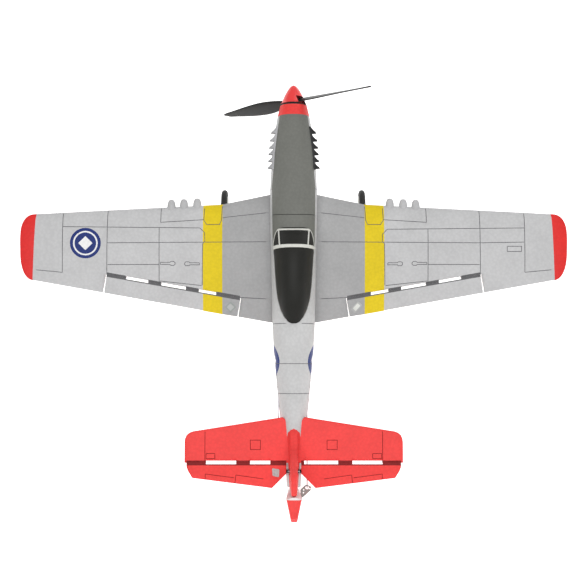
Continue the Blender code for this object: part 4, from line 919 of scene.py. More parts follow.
def cut_openings(sheet, limit):
    """Zones left out of the skin: the wing seat, the hatch, the joiner's slot and the rods' slots."""
    seat_front, seat_rear, seat_z = ROOT_LE + 4.0, ROOT_TE - 6.0, ROOT_Z + 1.6
    upper = side_line([(seat_front + (seat_rear - seat_front) * k / 12, seat_z) for k in range(13)])
    seat = [(seat_front, limit)] + upper + [(seat_rear, limit)]
    edge = [(y, (math.pi - crown_angle(y, HATCH_HALF)) * AROUND)
            for y in (HATCH_FRONT, (HATCH_FRONT + HATCH_REAR) / 2, HATCH_REAR)]
    door = [(HATCH_FRONT, limit)] + edge + [(HATCH_REAR, limit)]
    slot = side_line([(JOINER_Y - 1.5, STAB_Z - 4.4), (JOINER_Y + 1.4, STAB_Z - 4.4)])
    slot += [(y, 0.0) for y, _ in reversed(slot)]
    for sign, (y0, y1, z0, z1) in ((1, (62.0, 100.0, 1.2, 3.8)), (-1, (80.0, 110.0, 2.2, 4.8))):
        for ring in (seat, door, slot, side_line([(y0, z0), (y1, z0), (y1, z1), (y0, z1)])):
            sheet.zone([(y, sign * a) for y, a in ring], OPEN)


def fuselage():
    """Both moulded halves as one skin with real wall thickness, open at nose, tail, hatch and wing."""
    def place(y, a, low):
        return fuselage_point(y, a / AROUND, 0.32 if low else 0.0)
    bm = single_skin(fuselage_sheet(), place, OPEN)
    obj = make_object(bm, "fuselage_foam", FUSELAGE_MATERIALS, weld=1e-3)
    shell = obj.modifiers.new("wall", 'SOLIDIFY')
    shell.thickness = SKIN * MM
    shell.offset = -1
    shell.use_rim = True
    apply_modifiers(obj)
    finish_piece(obj, "airframe", ["fuselage_left", "fuselage_right"])


# ---------------------------------------------------------------- canopy

CANOPY_SHAPE = [(-42.2, 8.4, 0.9), (-41.3, 11.2, 2.0), (-38.4, 13.1, 5.0), (-34.0, 14.2, 9.4),
                (-28.6, 14.7, 13.6), (-22.0, 14.0, 15.2), (-12.0, 13.4, 15.4), (0.0, 12.5, 13.4),
                (9.0, 11.3, 10.6), (17.0, 9.1, 6.9), (22.0, 6.7, 4.0), (24.8, 4.6, 2.3), (26.0, 3.1, 1.5),
                (26.5, 1.5, 1.0)]
CANOPY_POWER = 2.2
SILL_GAP = 0.7


def smooth_row(table, y):
    """The row of a table at y, between its stations on a Catmull-Rom curve."""
    for i in range(len(table) - 1):
        if y <= table[i + 1][0] or i == len(table) - 2:
            break
    before, here = table[max(i - 1, 0)], table[i]
    there, after = table[i + 1], table[min(i + 2, len(table) - 1)]
    t = min(1.0, max(0.0, (y - here[0]) / (there[0] - here[0])))
    row = []
    for a, b, c, d in zip(before[1:], here[1:], there[1:], after[1:]):
        row.append(b + 0.5 * t * (c - a + t * (2 * a - 5 * b + 4 * c - d + t * (3 * (b - c) + d - a))))
    return row


def canopy_point(y, angle, lift=0.0):
    """A point of the canopy; angle 0 is the port sill, pi / 2 the crown."""
    half, rise = smooth_row(CANOPY_SHAPE, y)
    width, top, bottom = station_at(y)
    middle = waist(top, bottom)
    share = min(0.98, (half - 0.8) / width)
    base = middle + (top - middle) * (1 - share ** SQUARENESS) ** (1 / SQUARENESS) + SILL_GAP
    crown = top + 0.3 + rise
    c, s = math.cos(angle), math.sin(angle)
    flat = math.copysign(abs(c) ** (2 / CANOPY_POWER), c)
    return Vector(((half + lift) * flat, y, base + (crown + lift - base) * abs(s) ** (2 / CANOPY_POWER)))


def canopy_glass():
    """The blown bubble: outer and inner skin joined along the sill."""
    first, last = CANOPY_SHAPE[0][0], CANOPY_SHAPE[-1][0]
    rings = []
    for k in range(61):
        t = k / 60
        y = first + (last - first) * (0.5 - 0.5 * math.cos(math.pi * t))
        angles = [math.pi * i / 32 for i in range(33)]
        outer = [canopy_point(y, a) for a in angles]
        inner = [canopy_point(y, a, -0.8 if 0.06 < t < 0.97 else -0.4) for a in reversed(angles)]
        rings.append(outer + inner)
    bm = loft_into(bmesh.new(), rings)
    obj = make_object(bm, "canopy_glass", ["glass"], 50.0)
    finish_piece(obj, "airframe", ["canopy"])


def canopy_strip(bm, route, half_width, height=0.34):
    """A raised moulded strip along a route of (y, angle) points on the canopy."""
    points = [canopy_point(y, a) for y, a in route]
    rings = []
    for i, ((y, a), point) in enumerate(zip(route, points)):
        along = (points[min(i + 1, len(points) - 1)] - points[max(i - 1, 0)]).normalized()
        across = canopy_point(y, min(a + 0.02, math.pi)) - canopy_point(y, max(a - 0.02, 0.0))
        down = canopy_point(min(y + 0.3, 26.3), a) - canopy_point(max(y - 0.3, -42.1), a)
        normal = across.cross(down).normalized()
        if normal.z < 0 and abs(point.x) < 11 or normal.x * point.x < -0.02:
            normal.negate()
        side = along.cross(normal).normalized()
        rings.append([point + side * half_width * u + normal * v for u, v in
                      ((-1.0, -0.3), (-1.0, height * 0.6), (-0.7, height), (0.7, height),
                       (1.0, height * 0.6), (1.0, -0.3))])
    loft_into(bm, rings)


def canopy_frames():
    """The moulded bow, windscreen posts and lower sill strips."""
    bm = bmesh.new()
    steps = 28
    arc = [math.pi * (0.005 + 0.99 * k / steps) for k in range(steps + 1)]
    canopy_strip(bm, [(-27.6, a) for a in arc], 1.2, 0.55)
    front = [(-40.6, a) for a in arc]
    canopy_strip(bm, front, 0.8)
    for sign in (1, -1):
        post = []
        for k in range(13):
            y = -40.4 + 12.0 * k / 12
            share = (10.9 - 0.9 * k / 12) / smooth_row(CANOPY_SHAPE, y)[0]
            angle = math.acos(min(0.999, share) ** (CANOPY_POWER / 2))
            post.append((y, angle if sign > 0 else math.pi - angle))
        canopy_strip(bm, post, 0.55)
        low = [(-41.0 + 12.4 * k / 12, math.pi / 2 - sign * (math.pi / 2 - 0.10)) for k in range(13)]
        canopy_strip(bm, low, 0.75)
    obj = make_object(bm, "canopy_frames", ["frame"], 45.0)
    finish_piece(obj, "airframe")


def canopy_sill_reflection_strips():
    """Olive strips along the sliding hood's lower edge: painted reflection of the olive fuselage in the
    glass.
    """
    bm = bmesh.new()
    for sign in (1, -1):
        rail = [(-25.2 + 48.0 * k / 30, math.pi / 2 - sign * (math.pi / 2 - 0.09)) for k in range(31)]
        canopy_strip(bm, rail, 0.7, 0.28)
    # olive here is painted reflection of the fuselage in the glass
    obj = make_object(bm, "canopy_sill_reflection_strips", ["olive"], 45.0)
    finish_piece(obj, "airframe")


# ---------------------------------------------------------------- nose fittings

EXHAUST_TIPS = [(16.9, -112.9), (17.8, -107.1), (18.4, -101.8), (18.8, -97.0), (19.1, -91.9), (19.4, -86.9)]
EXHAUST_Z = 6.0


def skin_x(y, z):
    half_width, top, bottom = station_at(y)
    middle = waist(top, bottom)
    share = min(0.999, abs(z - middle) / ((top - middle) if z >= middle else (middle - bottom)))
    return half_width * (1 - share ** section_power(y)) ** (1 / section_power(y))


def exhaust(side, word):
    """Six flattened stubs, raked back to square open ends, on one strip along the nose."""
    bm = bmesh.new()
    rings = []
    for k in range(15):
        y = EXHAUST_TIPS[0][1] - 4.8 + 31.6 * k / 14
        skin = skin_x(y, EXHAUST_Z)
        rings.append([(side * (skin - 1.0), y, EXHAUST_Z - 1.9), (side * (skin + 0.55), y, EXHAUST_Z - 1.8),
                      (side * (skin + 0.75), y, EXHAUST_Z), (side * (skin + 0.55), y, EXHAUST_Z + 1.8),
                      (side * (skin - 1.0), y, EXHAUST_Z + 1.9)])
    loft_into(bm, rings)
    for tip_x, tip_y in EXHAUST_TIPS:
        skin = skin_x(tip_y, EXHAUST_Z)
        root = skin - 0.9
        profile = [(root, skin + (tip_x - skin) * t, 4.6 * (t - 1), 1.4 + 0.6 * t)
                   for t in (0.0, 0.3, 0.6, 0.85, 1.0)]
        profile += [(root + 0.7, tip_x - 0.35, 0.0, 1.65), (root + 0.8, tip_x - 0.7, -1.4, 1.5)]
        rings = []
        for inner, outer, y, high in profile:
            middle, wide = (inner + outer) / 2, (outer - inner) / 2
            rings.append([(side * (middle + wide * u), tip_y + y, EXHAUST_Z + high * v)
                          for u, v in circle(1.0, 20)])
        loft_into(bm, rings)
    # painted highlight: the port stacks are light grey for the light glancing off them; the starboard
    # stacks stay black
    obj = make_object(bm, "exhaust_%s_stacks" % word, ["port_stack_highlight" if side > 0 else "black"], 45.0)
    finish_piece(obj, "airframe", ["exhaust_" + word])


PROP_ANGLE, PROP_RADIUS = 39.0, 70.0
ROOT_ANGLE, TIP_ANGLE = 24.0, 15.5      # blade angle to the prop disc, degrees
SPINNER_TIP_Y, SPINNER_BASE_Y, SPINNER_R, SPINNER_POWER = -150.3, -135.3, 9.5, 0.58
BLADE = [(2.0, 5.0), (8.0, 6.6), (10.5, 7.9), (15.0, 11.1), (23.0, 14.6), (30.0, 15.9), (37.0, 15.5),
         (45.0, 13.7), (53.0, 11.1), (60.0, 8.2), (66.0, 6.2), (PROP_RADIUS - 0.8, 3.2)]


def blade_axes(turn):
    angle = -math.radians(PROP_ANGLE) + turn
    return (Vector((math.cos(angle), 0, math.sin(angle))), Vector((-math.sin(angle), 0, math.cos(angle))),
            Vector((0, -1, 0)))


def blade_rings(turn):
    """Twisted airfoil sections from the hub to a rounded tip."""
    radial, across, forward = blade_axes(turn)
    rings = []
    count = 44
    for i in range(count + 1):
        t = math.sin(math.pi / 2 * i / count)
        r = 2.0 + (PROP_RADIUS - 2.8) * t
        chord = smooth_row(BLADE, r)[0]
        if r > 64.0:
            chord *= max(0.25, math.sqrt(max(0.0, 1 - ((r - 64.0) / 6.2) ** 2)))
        pitch = math.radians(ROOT_ANGLE + (TIP_ANGLE - ROOT_ANGLE) * r / PROP_RADIUS)
        along = across * math.cos(pitch) + forward * math.sin(pitch)
        normal = forward * math.cos(pitch) - across * math.sin(pitch)
        thick = max(1.5, 3.0 - r * 0.025)
        swept = 0.04 + 0.16 * r / PROP_RADIUS
        centre = Vector((0, PROP_Y, 0)) + radial * r - along * chord * swept
        ring = []
        for k in range(24):
            a = 2 * math.pi * k / 24
            s = 0.5 * math.cos(a)
            camber = 0.16 * (1 - (2 * s) ** 2)
            half = 0.36 * math.sin(a) * (1.15 - 0.3 * (0.5 - s)) + (0.05 if math.sin(a) > 0 else -0.03)
            ring.append(centre + along * chord * s + normal * thick * (camber + half))
        rings.append(ring)
    return rings


def propeller():
    bm = bmesh.new()
    hub = [(0.85, -3.0), (2.9, -3.0), (3.4, -2.5), (3.6, -1.8), (3.6, 1.8), (3.4, 2.3), (2.9, 2.8),
           (0.85, 2.8)]
    loft_into(bm, lathe_y(hub, (0, PROP_Y, 0), 40), close=True)
    for turn in (0.0, math.pi):
        loft_into(bm, blade_rings(turn))
    obj = make_object(bm, "propeller_blades", ["prop"], 40.0)
    finish_piece(obj, "propeller_group", ["propeller"])


def spinner():
    """A thin moulded nose cone with a slot at each blade root and a shallow joint line at its base; the
    base rim and the slot walls are black as painted shade in the gap and the slots.
    """
    length = SPINNER_BASE_Y - SPINNER_TIP_Y
    outer = [(0.02, SPINNER_TIP_Y)]
    outer += [(SPINNER_R * (k / 26) ** SPINNER_POWER, SPINNER_TIP_Y + length * k / 26)
              for k in range(1, 27)]
    outer = [(r, y) for r, y in outer if y < SPINNER_BASE_Y - 1.0]
    outer += [(SPINNER_R * 0.985, SPINNER_BASE_Y - 0.9), (SPINNER_R * 0.955, SPINNER_BASE_Y - 0.75),
              (SPINNER_R * 0.955, SPINNER_BASE_Y - 0.55), (SPINNER_R, SPINNER_BASE_Y - 0.4),
              (SPINNER_R, SPINNER_BASE_Y)]
    inner = [(SPINNER_R * (k / 26) ** SPINNER_POWER - 1.0, SPINNER_TIP_Y + length * k / 26 + 0.3)
             for k in range(5, 26)]
    inner = [(0.02, inner[0][1] - 0.6)] + inner + [(SPINNER_R - 1.0, SPINNER_BASE_Y)]
    bm = loft_into(bmesh.new(), lathe_y(outer + list(reversed(inner)), (0, 0, 0), 72))
    # painted shade: the base rim is black for the shadowed gap at the nose ring
    for face in bm.faces:
        if face.calc_center_median().y > SPINNER_BASE_Y - 0.65:
            face.material_index = 1
    obj = make_object(bm, "spinner_cone", ["spinner", "black"], 40.0)
    radial, across, _ = blade_axes(0.0)
    slot = [(-3.0, -4.4), (-3.0, 3.4), (6.0, 3.4), (6.0, -4.4)]
    cuts = []
    for sign in (1, -1):
        root = [radial * sign * 3.9 + across * sign * u + Vector((0, PROP_Y + v, 0)) for v, u in slot]
        cuts.append([root, [point + radial * sign * 12.0 for point in root]])
    # the slot walls take black as painted shade inside the slots
    carve(obj, cuts, ["spinner", "black"], 1)
    finish_piece(obj, "propeller_group", ["spinner"])


# ---------------------------------------------------------------- tail

# TAIL_HINGE_SHADE tags painted shade in the hinge grooves
TAIL_LINE, TAIL_HINGE_SHADE, BARE = 1, 2, 3
TAIL_MATERIALS = ["red", "dark_red", "dark_red", "raw"]
LAST_HINGE = 76.3
STAB_SLOTS = {1: [(16.7, 31.1), (41.0, 62.5)], -1: [(7.4, 31.6), (41.7, 63.2)]}


def rounded_half(distance, half, radius=0.9):
    """Half thickness of a foam plate at a distance from its rounded edge."""
    if distance >= radius:
        return half
    curve = math.sqrt(max(0.0, 1 - (1 - max(0.0, distance / radius)) ** 2))
    return half - radius + radius * curve if half > radius else half * (0.45 + 0.55 * curve)


def edge_distance(point, outline):
    """Distance of a plan point from a closed outline."""
    best = 1e9
    p = Vector(point)
    for a, b in zip(outline, outline[1:] + outline[:1]):
        a, b = Vector(a), Vector(b)
        d = b - a
        t = min(1.0, max(0.0, (p - a).dot(d) / d.length_squared)) if d.length_squared else 0.0
        best = min(best, (a + d * t - p).length)
    return best


def inset_polygon(outline, depth):
    """The closed outline moved inwards by depth."""
    area = sum(a[0] * b[1] - b[0] * a[1] for a, b in zip(outline, outline[1:] + outline[:1]))
    sign = 1 if area > 0 else -1
    moved = []
    count = len(outline)
    for i in range(count):
        prev, here, nxt = (Vector(outline[(i + k) % count]) for k in (-1, 0, 1))
        before, after = (here - prev).normalized(), (nxt - here).normalized()
        normal = Vector((-before.y - after.y, before.x + after.x))
        if normal.length < 1e-6:
            continue
        normal = normal.normalized() * sign
        reach = depth / max(0.35, math.sqrt(max(0.0, (1 + before.dot(after)) / 2)))
        moved.append(tuple(here + normal * reach))
    return moved


def plate_sheet(outline, lines, step=3.0):
    """A sheet for a flat foam plate, with rows of points that round its edges."""
    sheet = Sheet(outline, edge_step=step)
    for line in lines:
        sheet.line(line, TAIL_LINE, half=0.2)
    rim = [tuple(p) for p in subdivide_line(list(outline) + [outline[0]], step)[:-1]]
    for depth in (0.12, 0.4, 0.9):
        sheet.fill(inset_polygon(rim, depth))
    xs, ys = [p[0] for p in outline], [p[1] for p in outline]
    grid = []
    x = min(xs)
    while x < max(xs):
        y = min(ys)
        while y < max(ys):
            if inside((x, y), outline) and edge_distance((x, y), outline) > 1.5:
                grid.append((x, y))
            y += 3.1
        x += 3.3
    sheet.fill(grid)
    return sheet


def rect(x0, x1, y0, y1):
    return [(x0, y0), (x1, y0), (x1, y1), (x0, y1), (x0, y0 + 0.3)]


def notched_hinge(y, depth):
    """The stabilizer's rear edge from port to starboard, stepped forward at each slot."""
    edge = []
    slots = [(b, a) for a, b in reversed(STAB_SLOTS[1])] + [(-a, -b) for a, b in STAB_SLOTS[-1]]
    for x0, x1 in slots:
        edge += [(x0, y), (x0, y - depth), (x1, y - depth), (x1, y)]
    return edge


def stabilizer():
    """One foam plate through the tail, with moulded panel lines and a row of hinge slots."""
    hinge = ELEV_HINGE_Y - HINGE_GAP / 2
    port = [(3.1, 104.4), (3.1, 97.0), (7.9, 93.2), (72.0, 103.3), (74.4, 104.2), (76.4, 105.9),
            (77.5, 108.4), (77.8, 111.0), (77.8, hinge)]
    outline = port + notched_hinge(hinge, 1.5) + [(-x, y) for x, y in reversed(port)]
    lines = []
    for side in (1, -1):
        lines += [[(side * 63.2, 103.4), (side * 63.2, hinge - 0.2)],
                  [(side * x, y) for x, y in rect(23.7, 30.9, 109.4, 116.1)],
                  [(side * x, y) for x, y in rect(56.1, 62.4, 118.9, 122.4)]]
    sheet = plate_sheet(outline, lines)
    for side in (1, -1):
        # painted shade: a dark red band ahead of the hinge for the groove's shadow
        for x0, x1 in foam_spans(ELEV_IN, STAB_SLOTS[side], LAST_HINGE):
            groove = [(x0, hinge - 1.7), (x1, hinge - 1.7), (x1, hinge), (x0, hinge)]
            sheet.zone([(side * x, y) for x, y in groove], TAIL_HINGE_SHADE)
    half = STAB_THICK / 2

    def lift(sign):
        def place(x, y):
            return (x, y, STAB_Z + sign * rounded_half(edge_distance((x, y), outline), half)), (0, 0, sign)
        return place
    obj = slab("stabilizer_foam", sheet, lift(1), lift(-1), TAIL_MATERIALS, depth=0.3)
    finish_piece(obj, "airframe", ["stabilizer"])


def elevator(side, word):
    """The hinged flap: bevelled nose, thin trailing edge and an engraved trim tab."""
    nose = ELEV_HINGE_Y + HINGE_GAP / 2
    outline = [(ELEV_IN, nose), (ELEV_OUT, nose), (76.3, 128.6), (75.2, 131.6), (72.2, 136.3),
               (15.5, 143.4), (ELEV_IN, 133.2)]
    lines = [[(63.0, 133.4), (42.5, 136.1)], [(41.2, 134.1), (21.6, 136.9)], [(63.0, 133.4), (63.0, 137.2)],
             [(41.2, 134.1), (41.8, 139.8)]]
    sheet = plate_sheet(outline, lines)
    # painted shadow: the elevator's bevelled nose behind the gap is painted dark red
    sheet.zone(outline[:2] + [(ELEV_OUT, nose + 0.75), (ELEV_IN, nose + 0.75)], TAIL_HINGE_SHADE)
    half = STAB_THICK / 2

    def depth(x, y):
        trail = 143.4 - (143.4 - 136.3) * (x - 15.5) / (72.2 - 15.5)
        return half * max(0.17, min(1.0, (trail - y) / (trail - nose)))

    def top(x, y):
        away = edge_distance((x, y), outline)
        return (x, y, STAB_Z + max(0.12, rounded_half(away, depth(x, y), 0.5))), (0, 0, 1)

    def bottom(x, y):
        away = edge_distance((x, y), outline)
        flat = STAB_Z - max(0.12, rounded_half(away, depth(x, y), 0.5))
        bevel = STAB_Z + half * 0.4 - (y - nose) * 1.2
        return (x, y, max(flat, bevel) if y < nose + 2.0 else flat), (0, 0, -1)
    obj = slab("elevator_%s_foam" % word, sheet, top, bottom, TAIL_MATERIALS, mirror=side, depth=0.22)
    finish_piece(obj, "elevator", ["elevator_" + word])


def elevator_hinges():
    """The foam left between the slots, thin enough to bend with the elevator."""
    bm = bmesh.new()
    for side in (1, -1):
        for x0, x1 in foam_spans(ELEV_IN, STAB_SLOTS[side], LAST_HINGE):
            top = STAB_Z + STAB_THICK / 2
            profile = [(-1.2, -0.10), (-0.5, -0.30), (0.0, -0.42), (0.5, -0.30), (1.2, -0.10), (1.2, -1.2),
                       (-1.2, -1.2)]
            loft_into(bm, [[(side * x, ELEV_HINGE_Y + u, top + v) for u, v in profile] for x in (x0, x1)])
    # the hinge foam is painted dark red as shade in the groove
    obj = make_object(bm, "elevator_hinge_foam", ["dark_red"])
    bend_piece(obj)


def upright_plate(name, outline, lines, half_at, bare=None):
    """A foam plate seen from the side: (y, z) outline, half thickness from half_at(y, z).

    The polygon bare is left unpainted."""
    sheet = plate_sheet(outline, lines)
    if bare:
        sheet.zone(bare, BARE)

    def lift(sign):
        def place(y, z):
            half = rounded_half(edge_distance((y, z), outline), half_at(y, z))
            return (sign * half, y, z), (sign, 0, 0)
        return place
    return slab(name, sheet, lift(1), lift(-1), TAIL_MATERIALS, depth=0.25)


def fin():
    rear = RUD_HINGE_Y - HINGE_GAP / 2
    outline = [(102.0, 15.0), (104.8, 18.0), (108.0, 19.2), (111.6, 21.0), (114.5, 23.5), (127.6, 50.5),
               (128.8, 53.4), (130.6, 55.9), (133.6, 57.4), (rear, 57.8), (rear, 14.0), (126.0, 14.2)]
    lines = [[(118.0, 30.0), (rear - 0.4, 30.0)], [(125.4, 45.4), (rear - 0.4, 45.4)],
             [(136.0, 30.6), (136.0, 44.8)]]

    def half_at(_, z):
        return 2.9 - (z - 15.0) / 42.8
    obj = upright_plate("fin_foam", outline, lines, half_at)
    finish_piece(obj, "airframe", ["fin"])


def rudder():
    """The rudder blade, with a bare foam bevel along its nose."""
    front = RUD_HINGE_Y + HINGE_GAP / 2
    levels = [(-5.8, 156.0, 4.4), (-2.0, 158.4, 4.4), (14.0, 160.2, 4.4), (40.0, 161.2, 5.1),
              (55.0, 161.2, 5.3), (59.0, 158.4, 4.4)]
    low, high = levels[0][0], levels[-1][0]
    nose_half, rear_half, bevel = 2.2, 2.1, 1.6
    back = front + bevel
    outline = [(front, low)] + [(trail, z) for z, trail, _ in levels] + [(front, high)]
    lines = [[(147.6, 8.0), (147.6, 50.0)], [(153.0, 20.0), (159.9, 20.0)], [(153.0, 20.0), (153.0, 42.0)],
             [(153.0, 42.0), (160.6, 42.0)]]

    def half_at(y, z):
        trail, half = smooth_row(levels, min(high, max(low, z)))
        if y < back:
            return nose_half + (half - nose_half) * (y - front) / bevel
        return rear_half + (half - rear_half) * max(0.0, (trail - y) / (trail - back))
    bare = [(front, low), (back, low), (back, high), (front, high)]
    obj = upright_plate("rudder_foam", outline, lines, half_at, bare)
    finish_piece(obj, "rudder_group", ["rudder"])


def rudder_hinges():
    bm = bmesh.new()
    for z in (19.0, 33.0, 50.0):
        half = 1.5
        profile = [(-1.4, -half), (-0.4, -half + 0.5), (0.4, -half + 0.5), (1.4, -half), (1.4, half),
                   (0.4, half - 0.5), (-0.4, half - 0.5), (-1.4, half)]
        loft_into(bm, [[(v, RUD_HINGE_Y + u, z + w) for u, v in profile] for w in (-3.0, 3.0)])
    # the hinge foam is painted dark red as shade in the groove
    obj = make_object(bm, "rudder_hinge_foam", ["dark_red"])
    bend_piece(obj)


# ---------------------------------------------------------------- gear, belly and small fittings

WHEEL_FACET = 13.0 * math.cos(math.pi / 28)     # the solids' wheels stand on a facet
TAIL_FACET = 5.2 * math.cos(math.pi / 16)


def wheel(name, node, body, radius, width):
    """A rubber tyre on a dished hub."""
    low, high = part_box(node)
    centre = PLACE.inverted() @ ((low + high) / 2) / MM
    half = width / 2
    rim = radius * 0.62
    bm = bmesh.new()
    tyre = [(rim, -half + 0.1)]
    for k in range(15):
        a = math.pi * k / 14
        tyre.append((rim + (radius - rim) * (0.12 + 0.88 * math.sin(a) ** 0.55), -half * math.cos(a)))
    tyre += [(rim, half - 0.1)]
    loft_into(bm, lathe_x(tyre, centre, 72), 0, close=True)
    bore = 0.9 if radius > 8 else 0.62
    hub = [(bore, -half - 0.7), (rim * 0.34, -half - 0.7), (rim * 0.40, -half - 0.3),
           (rim * 0.42, -half + 0.8), (rim * 0.86, -half + 0.8), (rim * 0.92, -half - 0.05),
           (rim + 0.15, -half + 0.05)]
    hub += [(r, -x) for r, x in reversed(hub)]
    loft_into(bm, lathe_x(hub, centre, 72), 1, close=True)
    obj = make_object(bm, name, ["tyre", "pale"], 40.0)
    finish_piece(obj, body, [node])


SCOOP = [(-18.0, 7.2, -25.6), (-12.0, 8.6, -29.4), (0.0, 9.4, -31.0), (16.0, 9.6, -31.0),
         (23.2, 9.3, -30.4), (30.0, 8.9, -29.4), (42.0, 7.6, -26.6), (56.0, 5.0, -22.2)]


def belly_scoop():
    """The radiator fairing: a smooth pod with an open intake lip in front."""
    rings = []
    first, last = SCOOP[0][0], SCOOP[-1][0]
    trail = wing_edges(0.0)[1]
    for k in range(41):
        y = first + (last - first) * k / 40
        half, low = smooth_row(SCOOP, y)
        ceiling = wing_height(0.5, y, False) - 0.3 if y < trail - 6.0 else station_at(y)[2] - 0.3
        ceiling = max(ceiling, low + 1.0)
        ring = []
        for i in range(17):
            a = math.pi * i / 16
            c, s = math.cos(a), math.sin(a)
            ring.append((half * math.copysign(abs(c) ** 0.62, c), y,
                         ceiling - (ceiling - low) * abs(s) ** 0.7))
        rings.append(ring)
    bm = loft_into(bmesh.new(), rings)
    obj = make_object(bm, "belly_scoop_pod", WING_MATERIALS, 40.0)
    inlet = [box_rings((-5.4, -30, -28.0), (5.4, -11.0, -24.4))]
    # the intake's cut faces are painted dark grey as shade inside the recess
    carve(obj, inlet, WING_MATERIALS, RECESS_SHADE)
    finish_piece(obj, "airframe", ["belly_scoop"])


def hatch():
    """The battery door: a slice of the belly skin with a finger recess line round its edge."""
    half = HATCH_HALF - 0.3
    y0, y1 = HATCH_FRONT + 0.3, HATCH_REAR - 0.3
    outline = round_corners([(-half, y0), (half, y0), (half, y1), (-half, y1)], 0.8, 3)
    sheet = Sheet(outline, edge_step=2.0)
    sheet.line([(-half + 2, y0 + 2), (half - 2, y0 + 2), (half - 2, y1 - 2), (-half + 2, y1 - 2),
                (-half + 2, y0 + 2.4)], LINE, half=0.22)
    sheet.fill([(-half + 2 * half * i / 12, y0 + (y1 - y0) * k / 10) for i in range(1, 12)
                for k in range(1, 10)])

    def outer(x, y):
        return (x, y, skin_height(y, x, False)), (0, 0, -1)

    def inner(x, y):
        return (x, y, skin_height(y, x, False) + SKIN), (0, 0, 1)
    obj = slab("battery_hatch_foam", sheet, inner, outer, WING_MATERIALS, depth=0.25)
    finish_piece(obj, "hatch", ["battery_hatch"])


def horn_back_plate(side, word):
    """The clamp plate of the control horn on the aileron's upper face."""
    turn, length, width = (math.radians(45.0), 5.9, 5.9) if side > 0 else (math.radians(132.0), 8.0, 4.2)
    cx, cy = 46.6, 13.4
    corners = [(cx + u * math.cos(turn) - v * math.sin(turn), cy + u * math.sin(turn) + v * math.cos(turn))
               for u, v in ((length / 2, width / 2), (-length / 2, width / 2), (-length / 2, -width / 2),
                            (length / 2, -width / 2))]
    outline = round_corners(corners, 0.7, 3)
    rings = [[(side * x, y, wing_height(x, y, True) + lift) for x, y in outline] for lift in (-0.3, 0.55)]
    bm = loft_into(bmesh.new(), rings)
    for dx in (-1.1, 1.1):
        top = wing_height(cx + dx, cy, True)
        pin = [(0.55, 0.2), (0.55, 0.8), (0.4, 0.95)]
        loft_into(bm, [[(side * (cx + dx + u), cy + v, top + z) for u, v in circle(r, 12)] for r, z in pin])
    raised = [(cx + (x - cx) * 0.66, cy + (y - cy) * 0.66) for x, y in outline]
    loft_into(bm, [[(side * x, y, wing_height(x, y, True) + lift) for x, y in raised]
                   for lift in (0.3, 1.0)], 1)
    obj = make_object(bm, "horn_plate_" + word, ["grey", "plate"] if side > 0 else ["plate", "pale"], 40.0)
    finish_piece(obj, word + "_aileron")


def elevator_horn_plate():
    """The clamp plate of the elevator horn, on the port elevator's upper face."""
    top = STAB_Z + STAB_THICK / 2
    outline = round_corners([(15.4, 129.2), (15.1, 134.6), (10.5, 135.6), (10.2, 130.0)], 0.8, 3)
    bm = loft_into(bmesh.new(), [[(x, y, z) for x, y in outline] for z in (top - 0.7, top + 0.15)])
    for x, y in ((11.6, 131.4), (13.9, 131.0), (11.8, 133.8), (13.9, 133.4)):
        pin = ((0.6, top - 0.2), (0.6, top + 0.35), (0.4, top + 0.5))
        loft_into(bm, [[(x + u, y + v, z) for u, v in circle(r, 12)] for r, z in pin])
    obj = make_object(bm, "horn_plate_elevator", ["plate"], 40.0)
    finish_piece(obj, "elevator")


def rudder_horn():
    """A triangular side horn with a row of rod holes; the outermost takes the rod."""
    hole_x, hole_y, z = -9.6, RUD_HINGE_Y, 2.0
    outline = round_corners([(hole_x - 3.0, hole_y - 0.6), (hole_x - 2.8, hole_y + 1.7),
                             (-6.4, hole_y + 7.0), (-4.9, hole_y + 7.2), (-4.9, hole_y + 1.2),
                             (hole_x + 1.4, hole_y - 1.8), (hole_x - 0.6, hole_y - 1.9)], 0.6, 3)
    sheet = Sheet(outline, edge_step=1.0)
    hole = 1
    holes = ((0.0, 0.0, 1.2, 20), (-2.0, 0.7, 0.5, 12), (2.4, 1.6, 0.5, 12), (2.6, 3.6, 0.5, 12))
    for dx, dy, radius, sides in holes:
        sheet.zone([(hole_x + dx + radius * u, hole_y + dy + radius * v) for u, v in circle(1.0, sides)],
                   hole, 5.0)
    bm = single_skin(sheet, lambda x, y, _: (x, y, z + 0.6), hole)
    kept = bmesh.ops.extrude_face_region(bm, geom=bm.faces[:])
    bmesh.ops.translate(bm, vec=(0, 0, -1.2),
                        verts=[g for g in kept["geom"] if isinstance(g, bmesh.types.BMVert)])
    foot = box_rings((-5.9, RUD_HINGE_Y + 1.6, z - 2.6), (-4.8, RUD_HINGE_Y + 7.4, z + 2.6))
    loft_into(bm, foot)
    obj = make_object(bm, "horn_plate_rudder", ["grey"], 40.0)
    finish_piece(obj, "rudder_group", ["horn_rudder"])


def joiner_bushes():
    """Black sleeves where the joiner wire leaves the elevators."""
    bm = bmesh.new()
    profile = [(0.55, 4.3), (0.95, 4.3), (1.1, 4.6), (1.1, 5.9), (0.55, 5.9)]
    for side in (1, -1):
        rings = lathe_x([(r, side * x) for r, x in profile], (0, JOINER_Y, STAB_Z), 20)
        loft_into(bm, rings, close=True)
    obj = make_object(bm, "joiner_bushes", ["black"], 40.0)
    finish_piece(obj, "elevator")


